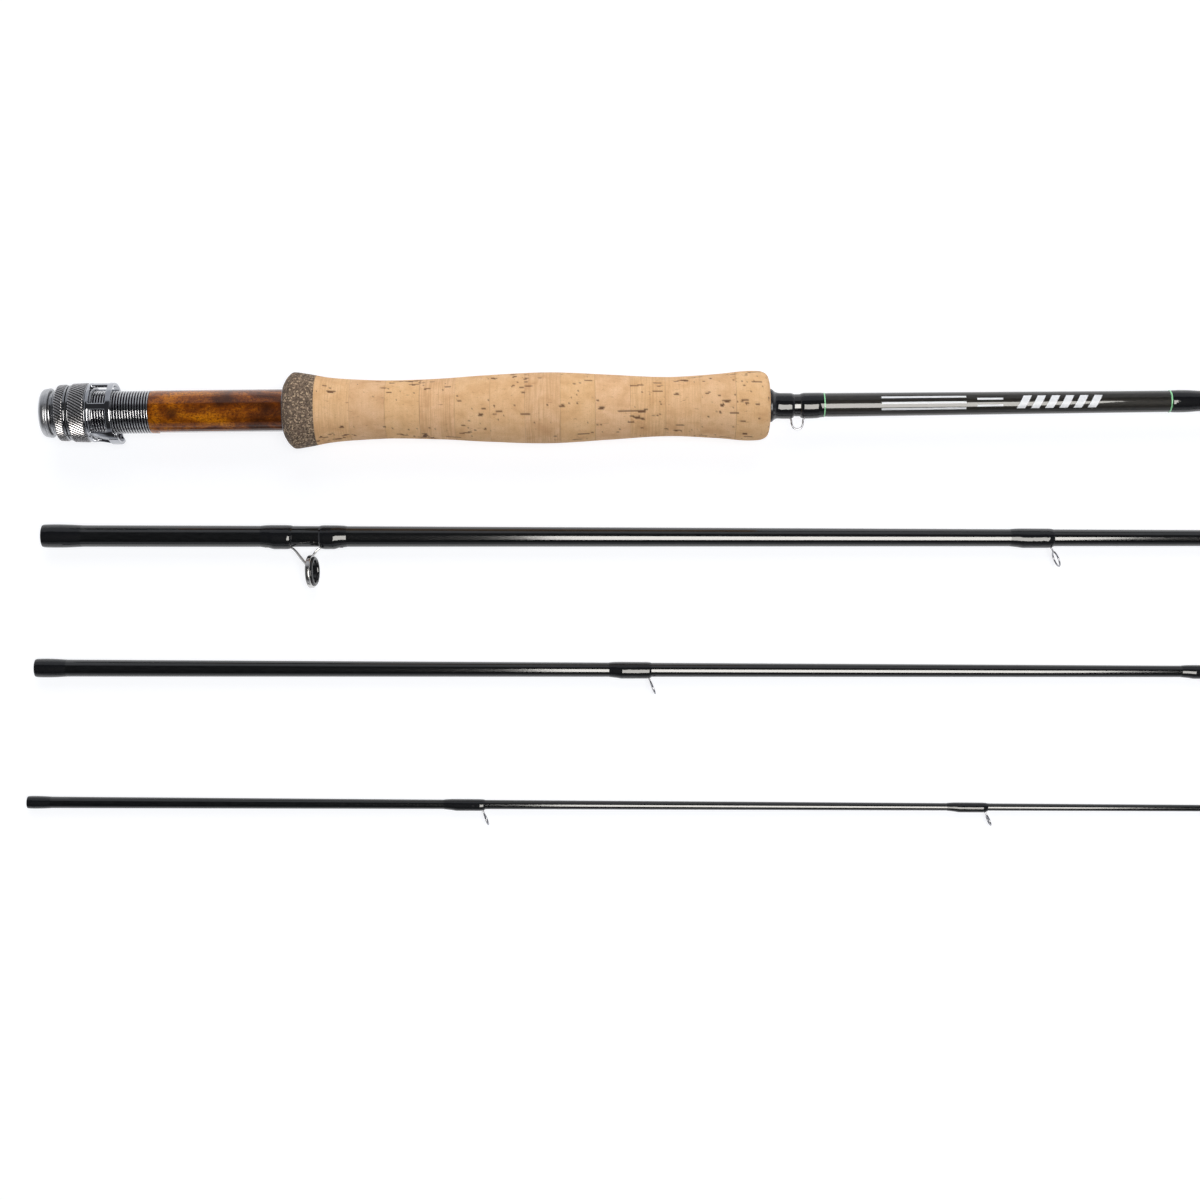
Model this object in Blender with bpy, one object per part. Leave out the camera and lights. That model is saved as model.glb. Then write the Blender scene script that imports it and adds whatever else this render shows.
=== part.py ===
"""A four-piece, nine-foot fly rod, laid out with its sections side by side.

The butt section has an up-locking reel seat, a cork grip and a hook keeper. Section two, section
three and the tip carry the line guides. Each section is built along X in its own frame, butt end
at x = 0 and reel or guide side towards -Y, and an empty then lays it on the surface z = 0.
Sizes are in millimetres, and the meshes are made in metres.
"""

import math

import bmesh
import bpy
from mathutils import Matrix, Vector

MM = 0.001

# The rod
ROD_LENGTH = 2743.0
FERRULE_DEPTH = 55.0
SECTION_LENGTH = (ROD_LENGTH + 3 * FERRULE_DEPTH) / 4

# Each blank's outer radius along its section, as (x, radius)
BUTT_TAPER = [(0.0, 4.65), (SECTION_LENGTH, 3.17)]
SECTION_2_TAPER = [(0.0, 4.05), (73.0, 3.97), (SECTION_LENGTH, 2.20)]
SECTION_3_TAPER = [(0.0, 3.20), (SECTION_LENGTH, 1.38)]
TIP_TAPER = [(0.0, 2.17), (150.0, 1.75), (433.0, 1.21), (SECTION_LENGTH, 0.75)]
FERRULE_PLAY = 0.03
TIP_BORE_END = 400.0

# Reel seat, along the butt section; outlines are (x, radius) lists
CAP_RADIUS = 9.05
CAP_OUTLINE = [
    (0.0, 7.5), (0.3, 8.5), (1.1, CAP_RADIUS), (2.3, CAP_RADIUS), (3.1, 8.6), (3.4, 7.9), (3.4, 7.45),
    (3.9, 7.45), (3.9, 6.25), (12.6, 6.25), (13.0, 5.8),
]
BARREL_START = 3.95
BARREL_END = 39.5
BARREL_RADIUS = 7.8
SEAT_BORE = 6.35
NUT_BORE = 7.95
LOCK_NUT_START = 3.95
LOCK_NUT_END = 9.9
LOCK_NUT_OUTLINE = [
    (LOCK_NUT_START, 8.15), (4.25, 8.45), (5.65, 8.45), (5.95, 9.7), (6.45, 10.35), (9.15, 10.35),
    (9.25, 10.05), (9.8, 10.05), (LOCK_NUT_END, 9.6),
]
WASHER_START = 9.95
WASHER_END = 10.3
WASHER_RADIUS = 9.35
HOOD_NUT_START = 10.35
HOOD_NUT_END = 19.3
HOOD_NUT_OUTLINE = [
    (HOOD_NUT_START, 9.8), (10.5, 10.2), (11.05, 10.2), (11.15, 10.65), (16.75, 10.85), (16.85, 10.5),
    (17.3, 10.5), (17.3, 8.9), (18.46, 8.9), (18.46, 9.55), (HOOD_NUT_END, 9.55),
]
HOOD_START = 17.36
HOOD_RADIUS = 10.9
HOOD_BORE = 9.75
HOOD_LIP = 9.05
HOOD_LIP_END = 18.4
HOOD_FRONT = 26.7
FOOT_POCKET_START = 19.5
FOOT_POCKET_RISE = 0.9
FOOT_POCKET_REACH = 1.8
WINDOW_COUNT = 6
WINDOW_START = 18.6
WINDOW_LENGTH = 6.1
WINDOW_TURN = math.radians(47)
WINDOW_CORNER = 1.3
RIB_TURN = math.radians(83)
INSERT_RADIUS = 7.85
MORTISE_FLOOR = 7.45
MORTISE_START = 42.0
POCKET_START = 87.6
POCKET_FLOOR = 7.35
FIXED_HOOD_RADIUS = 9.6
FIXED_HOOD_BORE = 9.0

# Grip: a ring of burl composite and thirteen of cork, each about half an inch long
GRIP_START = 88.5
GRIP_LENGTH = 176.96
GRIP_END = GRIP_START + GRIP_LENGTH
BURL_LENGTH = 11.6
CORK_COUNT = 13
CORK_LENGTH = (GRIP_LENGTH - BURL_LENGTH) / CORK_COUNT
GRIP_OUTLINE = [
    (0.0, 10.2),
    (1.4, 12.4),
    (3.6, 13.97),
    (8.0, 13.4),
    (16.8, 11.85),
    (26.0, 11.1),
    (39.0, 10.65),
    (56.0, 11.1),
    (74.0, 12.2),
    (96.0, 13.0),
    (118.0, 11.95),
    (140.0, 10.85),
    (157.5, 11.7),
    (170.5, 12.77),
    (173.4, 12.66),
    (175.4, 12.0),
    (176.5, 10.9),
    (GRIP_LENGTH, 9.4),
]
SEAM = 0.03
RECESS_END = 98.8

# Hook keeper and its wraps
CHECK_START = GRIP_END + 0.1
CHECK_RADIUS = 6.1
CHECK_LENGTH = 1.3
KEEPER_FOOT_SPACE = 0.62
KEEPER_REAR_END = 272.9
KEEPER_FRONT_START = 279.1
KEEPER_FRONT_END = 285.8
KEEPER_X = 276.0
KEEPER_WIDTH = 4.2
KEEPER_REACH = 8.8
KEEPER_WIRE = 0.33
LABEL_START = 286.0
LABEL_END = 412.9
LABEL_COAT = (0.30, 0.135)

# Guides: base of the ring along the section, outer ring radius and height of the stem
SECTION_2_GUIDES = [(374.5, 3.2, 2.0), (645.0, 2.9, 1.6)]
SECTION_3_GUIDES = [(228.0, 2.8, 1.4), (441.0, 2.6, 1.4), (642.0, 2.5, 1.4)]
TIP_GUIDES = [(169.5, 2.45, 1.5), (356.8, 2.3, 1.5), (497.0, 2.2, 1.4), (620.0, 2.1, 1.4)]
GUIDE_LEAN = math.radians(22)
GUIDE_WIRE = 0.33
GUIDE_FOOT_LIFT = 0.24
GUIDE_FOOT_BACK = (9.5, 8.6, 3.0, 1.2)
GUIDE_FOOT_WIDTH = 0.6
GUIDE_FOOT_SHARE = 0.32
GUIDE_RING_OPENING = math.radians(55)
GUIDE_RING_STEPS = 12

# Stripping guide: the outlines of its frame and ceramic ring, and the paths of its three legs
STRIPPER_X = 100.0
STRIPPER_REACH = 13.1
STRIPPER_TWIST = math.radians(8)
STRIPPER_FOOT_LIFT = 0.32
STRIPPER_FRAME = [(-1.0, 5.9), (-0.8, 6.15), (0.5, 6.15), (0.7, 5.9), (0.7, 5.15), (-1.0, 5.15)]
STRIPPER_CERAMIC = [
    (-1.3, 4.3), (-1.3, 5.08), (0.8, 5.08), (0.8, 5.5), (1.3, 5.5), (1.6, 5.0), (1.6, 4.4), (1.0, 4.1),
    (-0.8, 4.1),
]
REAR_FOOT = [(82.5, 0.25), (84.0, 0.3), (90.6, 0.35)]
REAR_LEG = [(93.0, -4.82, 0.7), (96.5, -8.6, 3.4), (99.4, -12.0, 5.55)]
REAR_SIZES = [(0.08, 0.3), (0.13, 0.5), (0.15, 0.5), (0.42, 0.42)]
FRONT_FOOT = [111.5, 110.0, 104.0]
FRONT_LEG = [(102.6, -4.72), (100.9, -6.4), (100.0, -7.55)]
FRONT_SIZES = [(0.08, 0.4), (0.13, 0.6), (0.13, 0.6), (0.3, 0.5), (0.45, 0.55), (0.45, 0.55)]

# Tip-top: the tube's outline ahead of the blank's end, and the loop's radius and wire
TIP_TUBE = [(-7.5, 1.05), (-7.0, 1.15), (0.6, 1.15), (1.1, 0.8)]
TIP_LOOP = 1.75
TIP_WIRE = 0.3

# Wraps
WRAP_THREAD = 0.25
WRAP_END = 0.12
FOOT_SPACE = 0.55
STRIPPER_FOOT_SPACE = 0.85

# Fits and facets
GLUE = 0.05
BORE_PLAY = 0.2
SEAT_SIDES = 20
GRIP_SIDES = 16
HOOD_SIDES = 40
BLANK_SIDES = 12
WIRE_SIDES = 5
SHARP_ANGLE = math.radians(32)

# Where each section lies: x and y of its butt end, yaw, the two heights it rests at, and its roll
LAYOUT = {
    "butt_section": (-358.7, 69.1, 0.65, (92.1, 13.97), (259.2, 12.77), 0.0),
    "section_2": (-361.9, 24.5, -0.10, (91.0, 4.64), (641.0, 3.0), 7.0),
    "section_3": (-364.9, -24.6, -0.175, (221.0, 3.21), (636.0, 2.17), 3.9),
    "tip_section": (-368.3, -74.7, -0.29, (163.0, 2.3), (730.0, 2.0), 1.8),
}


def clear_scene():
    for item in list(bpy.data.objects):
        bpy.data.objects.remove(item)


def look(name, colour, roughness, metallic=0.0):
    """A Principled material of one colour."""
    material = bpy.data.materials.new(name)
    material.use_nodes = True
    shader = material.node_tree.nodes["Principled BSDF"]
    shader.inputs["Base Color"].default_value = (*colour, 1.0)
    shader.inputs["Roughness"].default_value = roughness
    shader.inputs["Metallic"].default_value = metallic
    return material


def interpolate(stations, x):
    """The value at x on straight runs between (x, value) stations."""
    for (x0, v0), (x1, v1) in zip(stations, stations[1:]):
        if x <= x1:
            return v0 + (v1 - v0) * (x - x0) / (x1 - x0)
    return stations[-1][1]


def smooth_between(stations, x):
    """The value at x on a smooth curve through (x, value) stations, which never overshoots them."""
    slopes = [(b[1] - a[1]) / (b[0] - a[0]) for a, b in zip(stations, stations[1:])]
    tangents = [slopes[0]]
    for before, after in zip(slopes, slopes[1:]):
        level = before * after <= 0
        tangents.append(0.0 if level else 2 * before * after / (before + after))
    tangents.append(slopes[-1])
    for i, ((x0, v0), (x1, v1)) in enumerate(zip(stations, stations[1:])):
        if x <= x1:
            span = x1 - x0
            t = (x - x0) / span
            start = (1 + 2 * t) * (1 - t) ** 2 * v0 + t * (1 - t) ** 2 * span * tangents[i]
            end = t * t * (3 - 2 * t) * v1 - t * t * (1 - t) * span * tangents[i + 1]
            return start + end
    return stations[-1][1]


class Section:
    """One section of the rod: the empty that places it, and its blank's taper."""

    def __init__(self, name, taper):
        x, y, yaw, rear, front, roll = LAYOUT[name]
        slope = (rear[1] - front[1]) / (front[0] - rear[0])
        height = rear[1] + slope * rear[0]
        self.taper = taper
        self.empty = bpy.data.objects.new(name + "_frame", None)
        bpy.context.collection.objects.link(self.empty)
        self.empty.location = (x * MM, y * MM, height * MM)
        self.empty.rotation_euler = (math.radians(-roll), math.atan(slope), math.radians(yaw))

    def radius(self, x):
        return interpolate(self.taper, x)

    def add(self, name, shape, material, at=0.0):
        """Makes an object of a bmesh in this section's millimetres, with its origin at x = at."""
        bmesh.ops.recalc_face_normals(shape, faces=shape.faces)
        to_origin = Matrix.Scale(MM, 4) @ Matrix.Translation((-at, 0.0, 0.0))
        bmesh.ops.transform(shape, matrix=to_origin, verts=shape.verts)
        mesh = bpy.data.meshes.new(name)
        shape.to_mesh(mesh)
        shape.free()
        mesh.shade_smooth()
        mesh.set_sharp_from_angle(angle=SHARP_ANGLE)
        mesh.materials.append(material)
        piece = bpy.data.objects.new(name, mesh)
        bpy.context.collection.objects.link(piece)
        piece.parent = self.empty
        piece.location = (at * MM, 0.0, 0.0)
        return piece


def bridge(shape, rings, closed):
    """Skins a list of vertex rings. A closed run joins the last to the first; an open one is capped."""
    following = rings[1:] + rings[:1] if closed else rings[1:]
    for near, far in zip(rings, following):
        for i in range(len(near)):
            j = (i + 1) % len(near)
            shape.faces.new((near[i], near[j], far[j], far[i]))
    if not closed:
        shape.faces.new(rings[0])
        shape.faces.new(rings[-1])
    return shape


def turned(stations, sides, closed=True):
    """A piece turned about X, from (x, radius) or (x, radius, y of its centre) stations."""
    shape = bmesh.new()
    rings = []
    for x, radius, *centre in stations:
        offset = centre[0] if centre else 0.0
        turns = [2 * math.pi * i / sides for i in range(sides)]
        rings.append(
            [shape.verts.new((x, offset + radius * math.cos(a), radius * math.sin(a))) for a in turns]
        )
    return bridge(shape, rings, closed)


def add_tube(section, name, outer, bore, material, sides=SEAT_SIDES, at=0.0):
    """A round piece with an outer outline and a bore, each from its butt end to its tip end."""
    return section.add(name, turned(outer + bore[::-1], sides), material, at)


def curve_through(points, steps):
    """Points on a smooth Catmull-Rom curve through the given ones."""
    ends = [2 * points[0] - points[1]] + points + [2 * points[-1] - points[-2]]
    path = []
    for a, b, c, d in zip(ends, ends[1:], ends[2:], ends[3:]):
        for step in range(steps):
            t = step / steps
            path.append(
                0.5 * (2 * b + (c - a) * t + (2 * a - 5 * b + 4 * c - d) * t * t
                       + (3 * b - a - 3 * c + d) * t ** 3)
            )
    return path + [points[-1]]


def swept(path, sizes, facing, sides=WIRE_SIDES):
    """A wire along path. sizes holds each point's half thickness along facing, and half width."""
    shape = bmesh.new()
    rings = []
    for i, point in enumerate(path):
        along = (path[min(i + 1, len(path) - 1)] - path[max(i - 1, 0)]).normalized()
        facing = (facing - along * facing.dot(along)).normalized()
        across = along.cross(facing)
        thick, wide = sizes[i]
        ring = []
        for k in range(sides):
            turn = 2 * math.pi * k / sides
            corner = facing * thick * math.cos(turn) + across * wide * math.sin(turn)
            ring.append(shape.verts.new(point + corner))
        rings.append(ring)
    return bridge(shape, rings, closed=False)


def hide_operand(piece):
    piece.hide_render = True
    piece.display_type = "WIRE"


def combine(target, operand, operation):
    """Cuts the operand from the target, or joins it to the target."""
    hide_operand(operand)
    step = target.modifiers.new(operand.name, "BOOLEAN")
    step.operation = operation
    step.solver = "EXACT"
    step.object = operand


def grip_radius(x):
    return smooth_between(GRIP_OUTLINE, x - GRIP_START)


# ---- blanks ------------------------------------------------------------------------------------


def socket_bore(male_radius):
    """The female ferrule's bore, which takes the thicker section's male end over its last stretch."""
    mouth = male_radius(SECTION_LENGTH - FERRULE_DEPTH) + FERRULE_PLAY
    root = male_radius(SECTION_LENGTH) + FERRULE_PLAY
    return [(0.0, mouth), (FERRULE_DEPTH, root), (FERRULE_DEPTH + 5.0, root - 0.2)]


def add_butt_blank(section, material):
    start = 14.0
    thick_wall = 1.0
    thin_wall = 0.7
    outer = [(start, section.radius(start)), (LABEL_START, section.radius(LABEL_START))]
    outer.append((LABEL_START + 0.1, section.radius(LABEL_START) + LABEL_COAT[0]))
    outer.append((LABEL_END - 0.1, section.radius(LABEL_END) + LABEL_COAT[1]))
    outer.append((LABEL_END, section.radius(LABEL_END)))
    outer.append((SECTION_LENGTH, section.radius(SECTION_LENGTH)))
    bore = [
        (start, section.radius(start) - thick_wall),
        (SECTION_LENGTH, section.radius(SECTION_LENGTH) - thin_wall),
    ]
    add_tube(section, "butt_blank", outer, bore, material, BLANK_SIDES)


def add_middle_blank(section, name, male_radius, wall, material):
    """A blank with a female ferrule at its butt end and an open male end."""
    outer = [(x, r) for x, r in section.taper]
    bore = socket_bore(male_radius)
    bore.append((SECTION_LENGTH, section.radius(SECTION_LENGTH) - wall))
    add_tube(section, name, outer, bore, material, BLANK_SIDES)


def add_tip_blank(section, male_radius, material):
    """The tip's bore ends inside it, so that its thin end is solid."""
    bore_end = [(TIP_BORE_END, 0.55)]
    stations = bore_end + socket_bore(male_radius)[::-1] + section.taper
    section.add("tip_blank", turned(stations, BLANK_SIDES, closed=False), material)


# ---- thread wraps ------------------------------------------------------------------------------


def wrap_stations(section, profile):
    """Stations from (x, height on the far side, height on the guide side) above the blank."""
    stations = []
    for x, far, near in profile:
        stations.append((x, section.radius(x) + (far + near) / 2, (far - near) / 2))
    return stations


def add_wrap(section, name, outer, bore, material):
    """A thread wrap that stands higher over a guide foot than on the opposite side."""
    stations = wrap_stations(section, outer) + wrap_stations(section, bore)[::-1]
    section.add(name, turned(stations, BLANK_SIDES), material)


def add_plain_wrap(section, name, start, end, height, material):
    """A wrap of even height, rounded off at both ends, with nothing under it."""
    outer = [
        (start, height * 0.45, height * 0.45),
        (start + height * 1.5, height, height),
        (end - height * 3.0, height, height),
        (end, WRAP_END, WRAP_END),
    ]
    bore = [(start, GLUE, GLUE), (end, GLUE, GLUE)]
    add_wrap(section, name, outer, bore, material)


def add_foot_wrap(section, name, start, end, material, space=FOOT_SPACE, foot_from_start=False):
    """A wrap over a guide foot, which leaves it at the tip end or, if asked, at the butt end."""
    over = space + WRAP_THREAD
    flat = GLUE + WRAP_THREAD
    shut = WRAP_END
    outer = [(start, shut, shut), (start + 1.0, flat, over), (end - 1.0, flat, over)]
    outer.append((end, shut, space + WRAP_END))
    bore = [(start, GLUE, GLUE), (start + 1.0, GLUE, space), (end, GLUE, space)]
    if foot_from_start:
        outer = [(start + end - x, far, near) for x, far, near in outer[::-1]]
        bore = [(start + end - x, far, near) for x, far, near in bore[::-1]]
    add_wrap(section, name, outer, bore, material)


# ---- guides ------------------------------------------------------------------------------------


def add_single_foot_guide(section, name, x, ring_radius, stem, material):
    """A wire guide: a flattened foot on the blank, a stem, and a ring that leans towards the tip."""
    blank = section.radius(x)
    foot_y = -(blank + GUIDE_FOOT_LIFT)
    outwards = Vector((math.sin(GUIDE_LEAN), -math.cos(GUIDE_LEAN), 0.0))
    sideways = Vector((0.0, 0.0, 1.0))
    base = Vector((x, foot_y - 0.1, 0.0))
    middle = ring_radius - GUIDE_WIRE
    centre = base + outwards * (stem + middle)

    def on_ring(turn):
        return centre + (sideways * math.sin(turn) - outwards * math.cos(turn)) * middle

    foot = [Vector((x - back, foot_y, 0.0)) for back in GUIDE_FOOT_BACK]
    heel = Vector((x - 0.35, foot_y - 0.05, 0.0))
    knee = base + outwards * stem * 0.55 + sideways * 0.2
    bend = curve_through([foot[-1], heel, knee, on_ring(GUIDE_RING_OPENING)], 2)
    step = (2 * math.pi - 70 * GUIDE_RING_OPENING / 55) / GUIDE_RING_STEPS
    turns = [GUIDE_RING_OPENING + step * number for number in range(1, GUIDE_RING_STEPS + 1)]
    path = foot + bend[1:] + [on_ring(turn) for turn in turns]
    width = min(GUIDE_FOOT_WIDTH, GUIDE_FOOT_SHARE * blank)
    sizes = [(0.08, width * 0.4), (0.12, width), (0.12, width)]
    sizes += [(thick, GUIDE_WIRE) for thick in (0.12, 0.15, 0.22, 0.28)]
    sizes += [(GUIDE_WIRE, GUIDE_WIRE)] * (len(path) - len(sizes))
    section.add(name, swept(path, sizes, Vector((0.0, -1.0, 0.0))), material)


def stripper_place():
    """Where the stripping guide's ring stands, with its axis turned to face slightly upwards."""
    stand = Matrix.Translation((STRIPPER_X, -STRIPPER_REACH, 0.0))
    return stand @ Matrix.Rotation(-STRIPPER_TWIST, 4, "Y")


def add_stripping_guide(section, metal, ceramic):
    """A double-foot guide: a frame ring on two rear legs and one front leg, and a ceramic ring."""
    outwards = Vector((0.0, -1.0, 0.0))
    foot_y = -(section.radius(STRIPPER_X) + STRIPPER_FOOT_LIFT)
    shape = turned(STRIPPER_FRAME, SEAT_SIDES)
    bmesh.ops.transform(shape, matrix=stripper_place(), verts=shape.verts)
    frame = section.add("stripping_guide_frame", shape, metal)
    for name, side in (("rear_leg_far", -1.0), ("rear_leg_near", 1.0)):
        foot = [Vector((x, foot_y, side * z)) for x, z in REAR_FOOT]
        leg = [Vector((x, y, side * z)) for x, y, z in REAR_LEG]
        path = foot[:2] + curve_through(foot[-1:] + leg, 3)
        sizes = REAR_SIZES + REAR_SIZES[-1:] * (len(path) - len(REAR_SIZES))
        combine(frame, section.add(name, swept(path, sizes, outwards), metal), "UNION")
    path = [Vector((x, foot_y, 0.0)) for x in FRONT_FOOT] + [Vector((x, y, 0.0)) for x, y in FRONT_LEG]
    combine(frame, section.add("front_leg", swept(path, FRONT_SIZES, outwards), metal), "UNION")
    ring = turned(STRIPPER_CERAMIC, SEAT_SIDES)
    bmesh.ops.transform(ring, matrix=stripper_place(), verts=ring.verts)
    section.add("stripping_guide_ring", ring, ceramic)


def add_tip_top(section, metal):
    """A short tube closed at its front, with a wire loop brazed to its sides."""
    end = SECTION_LENGTH
    bore = section.radius(end) + 0.09
    stations = [(end + 0.1, bore), (end + TIP_TUBE[0][0], bore + 0.02)]
    stations += [(end + x, radius) for x, radius in TIP_TUBE]
    tube = section.add("tip_top", turned(stations, BLANK_SIDES, closed=False), metal)
    outwards = Vector((0.35, -0.94, 0.0)).normalized()
    sideways = Vector((0.0, 0.0, 1.0))
    centre = Vector((end + 2.6, -2.3, 0.0))
    legs = [Vector((end - 4.0, -0.1, 1.0)), Vector((end - 1.5, -0.25, 1.25))]
    turns = [math.radians(130 - 260 * step / 14) for step in range(15)]
    loop = [centre + (outwards * math.cos(a) + sideways * math.sin(a)) * TIP_LOOP for a in turns]
    path = legs + loop + [Vector((p.x, p.y, -p.z)) for p in legs[::-1]]
    wire = swept(path, [(TIP_WIRE, TIP_WIRE)] * len(path), Vector((0.0, -1.0, 0.0)))
    combine(tube, section.add("tip_loop", wire, metal), "UNION")


# ---- reel seat ---------------------------------------------------------------------------------


def add_butt_cap(section, material):
    """A rimmed end cap with a spigot inside the barrel."""
    section.add("butt_cap", turned(CAP_OUTLINE, SEAT_SIDES, closed=False), material)


def add_barrel(section, material):
    outer = [
        (BARREL_START, BARREL_RADIUS - 0.3),
        (BARREL_START + 0.35, BARREL_RADIUS),
        (BARREL_END - 0.3, BARREL_RADIUS),
        (BARREL_END, BARREL_RADIUS - 0.25),
    ]
    bore = [(BARREL_START, SEAT_BORE), (BARREL_END, SEAT_BORE)]
    add_tube(section, "seat_barrel", outer, bore, material)


def add_nuts(section, knurled, nylon):
    """The hood nut, the lock nut behind it, and the washer between them."""
    bore = [(LOCK_NUT_START, NUT_BORE), (LOCK_NUT_END, NUT_BORE)]
    add_tube(section, "lock_nut", LOCK_NUT_OUTLINE, bore, knurled, at=LOCK_NUT_START)
    outer = [(WASHER_START, WASHER_RADIUS), (WASHER_END, WASHER_RADIUS)]
    bore = [(WASHER_START, NUT_BORE), (WASHER_END, NUT_BORE)]
    add_tube(section, "lock_washer", outer, bore, nylon, at=WASHER_START)
    bore = [(HOOD_NUT_START, NUT_BORE), (HOOD_NUT_END, NUT_BORE)]
    add_tube(section, "hood_nut", HOOD_NUT_OUTLINE, bore, knurled, at=HOOD_NUT_START)


def window_cutter(section, material):
    """Six bars with rounded corners, set out round the hood."""
    shape = bmesh.new()
    half_length = WINDOW_LENGTH / 2
    middle = WINDOW_START + half_length
    for window in range(WINDOW_COUNT):
        turn = RIB_TURN + (window + 0.5) * 2 * math.pi / WINDOW_COUNT
        half_width = HOOD_RADIUS * math.sin(WINDOW_TURN / 2)
        outline = []
        for corner, (u, v) in enumerate(((1, 1), (-1, 1), (-1, -1), (1, -1))):
            for step in range(3):
                bend = math.radians(90 * corner + 45 * step)
                along = u * (half_length - WINDOW_CORNER) + WINDOW_CORNER * math.cos(bend)
                across = v * (half_width - WINDOW_CORNER) + WINDOW_CORNER * math.sin(bend)
                outline.append((along, across))
        out = Vector((0.0, math.cos(turn), math.sin(turn)))
        side = Vector((0.0, -math.sin(turn), math.cos(turn)))
        rings = []
        for reach, spread in ((HOOD_BORE - 2.5, 0.78), (HOOD_RADIUS + 1.5, 1.1)):
            ring = []
            for along, across in outline:
                place = out * reach + side * across * spread + Vector((middle + along, 0.0, 0.0))
                ring.append(shape.verts.new(place))
            rings.append(ring)
        bridge(shape, rings, closed=False)
    return section.add("window_cutter", shape, material, at=HOOD_START)


def foot_pocket(across, up):
    """How much of the reel foot's pocket there is at a place round the hood: 1 on the guide side."""
    share = (-across / math.hypot(across, up) - 0.70) / 0.17
    return min(max(share, 0.0), 1.0)


def add_hood(section, metal):
    """The sliding hood: a captive lip, six windows, and a pocket for the end of the reel's foot."""
    outer = [
        (HOOD_START, HOOD_RADIUS - 0.6),
        (HOOD_START + 0.5, HOOD_RADIUS),
        (FOOT_POCKET_START, HOOD_RADIUS),
        (HOOD_FRONT - 0.25, HOOD_RADIUS),
        (HOOD_FRONT, HOOD_RADIUS - 0.25),
    ]
    bore = [
        (HOOD_START, HOOD_LIP),
        (HOOD_LIP_END, HOOD_LIP),
        (HOOD_LIP_END, HOOD_BORE),
        (FOOT_POCKET_START, HOOD_BORE),
        (HOOD_FRONT, HOOD_BORE + 0.15),
    ]
    shape = turned(outer + bore[::-1], HOOD_SIDES)
    for vertex in shape.verts:
        x, y, z = vertex.co
        rise = max(x - FOOT_POCKET_START, 0.0) / (HOOD_FRONT - FOOT_POCKET_START)
        pocket = foot_pocket(y, z)
        swell = 1.0 + FOOT_POCKET_RISE * rise * pocket / HOOD_RADIUS
        reach = FOOT_POCKET_REACH * pocket if x > HOOD_FRONT - 0.5 else 0.0
        vertex.co = (x + reach, y * swell, z * swell)
    hood = section.add("sliding_hood", shape, metal, at=HOOD_START)
    combine(hood, window_cutter(section, metal), "DIFFERENCE")


def add_mortise(insert, section, name, start, end, floor, material):
    """Cuts a flat floor into the insert's reel side, from start to beyond its end."""
    cutter = bmesh.new()
    bmesh.ops.create_cube(cutter, size=1.0)
    length = end + 5.0 - start
    place = Matrix.Translation((start + length / 2, -floor - 2.0, 0.0))
    bmesh.ops.transform(cutter, matrix=place @ Matrix.Diagonal((length, 4.0, 12.0, 1.0)), verts=cutter.verts)
    combine(insert, section.add(name, cutter, material), "DIFFERENCE")


def add_insert(section, wood, metal):
    """The burl insert with its shallow mortise, and the fixed hood that closes on its end."""
    end = GRIP_START + 9.5
    outer = [(BARREL_END + GLUE, 7.7), (BARREL_END + 0.3, INSERT_RADIUS), (end, INSERT_RADIUS)]
    bore = [(BARREL_END + GLUE, SEAT_BORE), (end, SEAT_BORE)]
    insert = add_tube(section, "wood_insert", outer, bore, wood, HOOD_SIDES)
    add_mortise(insert, section, "mortise_cutter", MORTISE_START, end, MORTISE_FLOOR, wood)
    add_mortise(insert, section, "pocket_cutter", POCKET_START, end, POCKET_FLOOR, wood)
    front = GRIP_START - 0.3
    back = end + 0.75
    outer = [(front, FIXED_HOOD_RADIUS - 0.15), (front + 0.15, FIXED_HOOD_RADIUS), (back, FIXED_HOOD_RADIUS)]
    bore = [(front, FIXED_HOOD_BORE + 0.15), (front + 0.15, FIXED_HOOD_BORE), (end + GLUE, FIXED_HOOD_BORE),
            (end + GLUE, SEAT_BORE), (back, SEAT_BORE)]
    add_tube(section, "fixed_hood", outer, bore, metal)


def add_arbor(section, material):
    """The sleeve that fills the space between the blank and the seat."""
    start = 14.0
    end = GRIP_START + 10.2
    outer = [(start, SEAT_BORE - 0.1), (end, SEAT_BORE - 0.1)]
    bore = [(x, section.radius(x) + BORE_PLAY) for x in (start, end)]
    add_tube(section, "seat_arbor", outer, bore, material)


# ---- grip --------------------------------------------------------------------------------------


def ring_outline(start, end, steps):
    return [(start + (end - start) * i / steps, grip_radius(start + (end - start) * i / steps))
            for i in range(steps + 1)]


def add_grip(section, burl, cork):
    start = GRIP_START
    end = GRIP_START + BURL_LENGTH - SEAM
    recess = FIXED_HOOD_RADIUS + 0.06
    outer = [(start, GRIP_OUTLINE[0][1]), (start + GRIP_OUTLINE[1][0], GRIP_OUTLINE[1][1])]
    outer += ring_outline(start + GRIP_OUTLINE[2][0], end, 3)
    bore = [
        (start, recess),
        (RECESS_END, recess),
        (RECESS_END, section.radius(RECESS_END) + BORE_PLAY),
        (end, section.radius(end) + BORE_PLAY),
    ]
    add_tube(section, "burl_ring", outer, bore, burl)
    for number in range(1, CORK_COUNT + 1):
        start = GRIP_START + BURL_LENGTH + (number - 1) * CORK_LENGTH + SEAM
        end = start + CORK_LENGTH - 2 * SEAM
        steps = 8 if number == CORK_COUNT else 2
        bore = [(x, section.radius(x) + BORE_PLAY) for x in (start, end)]
        add_tube(section, f"cork_ring_{number:02d}", ring_outline(start, end, steps), bore, cork, GRIP_SIDES)


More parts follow.
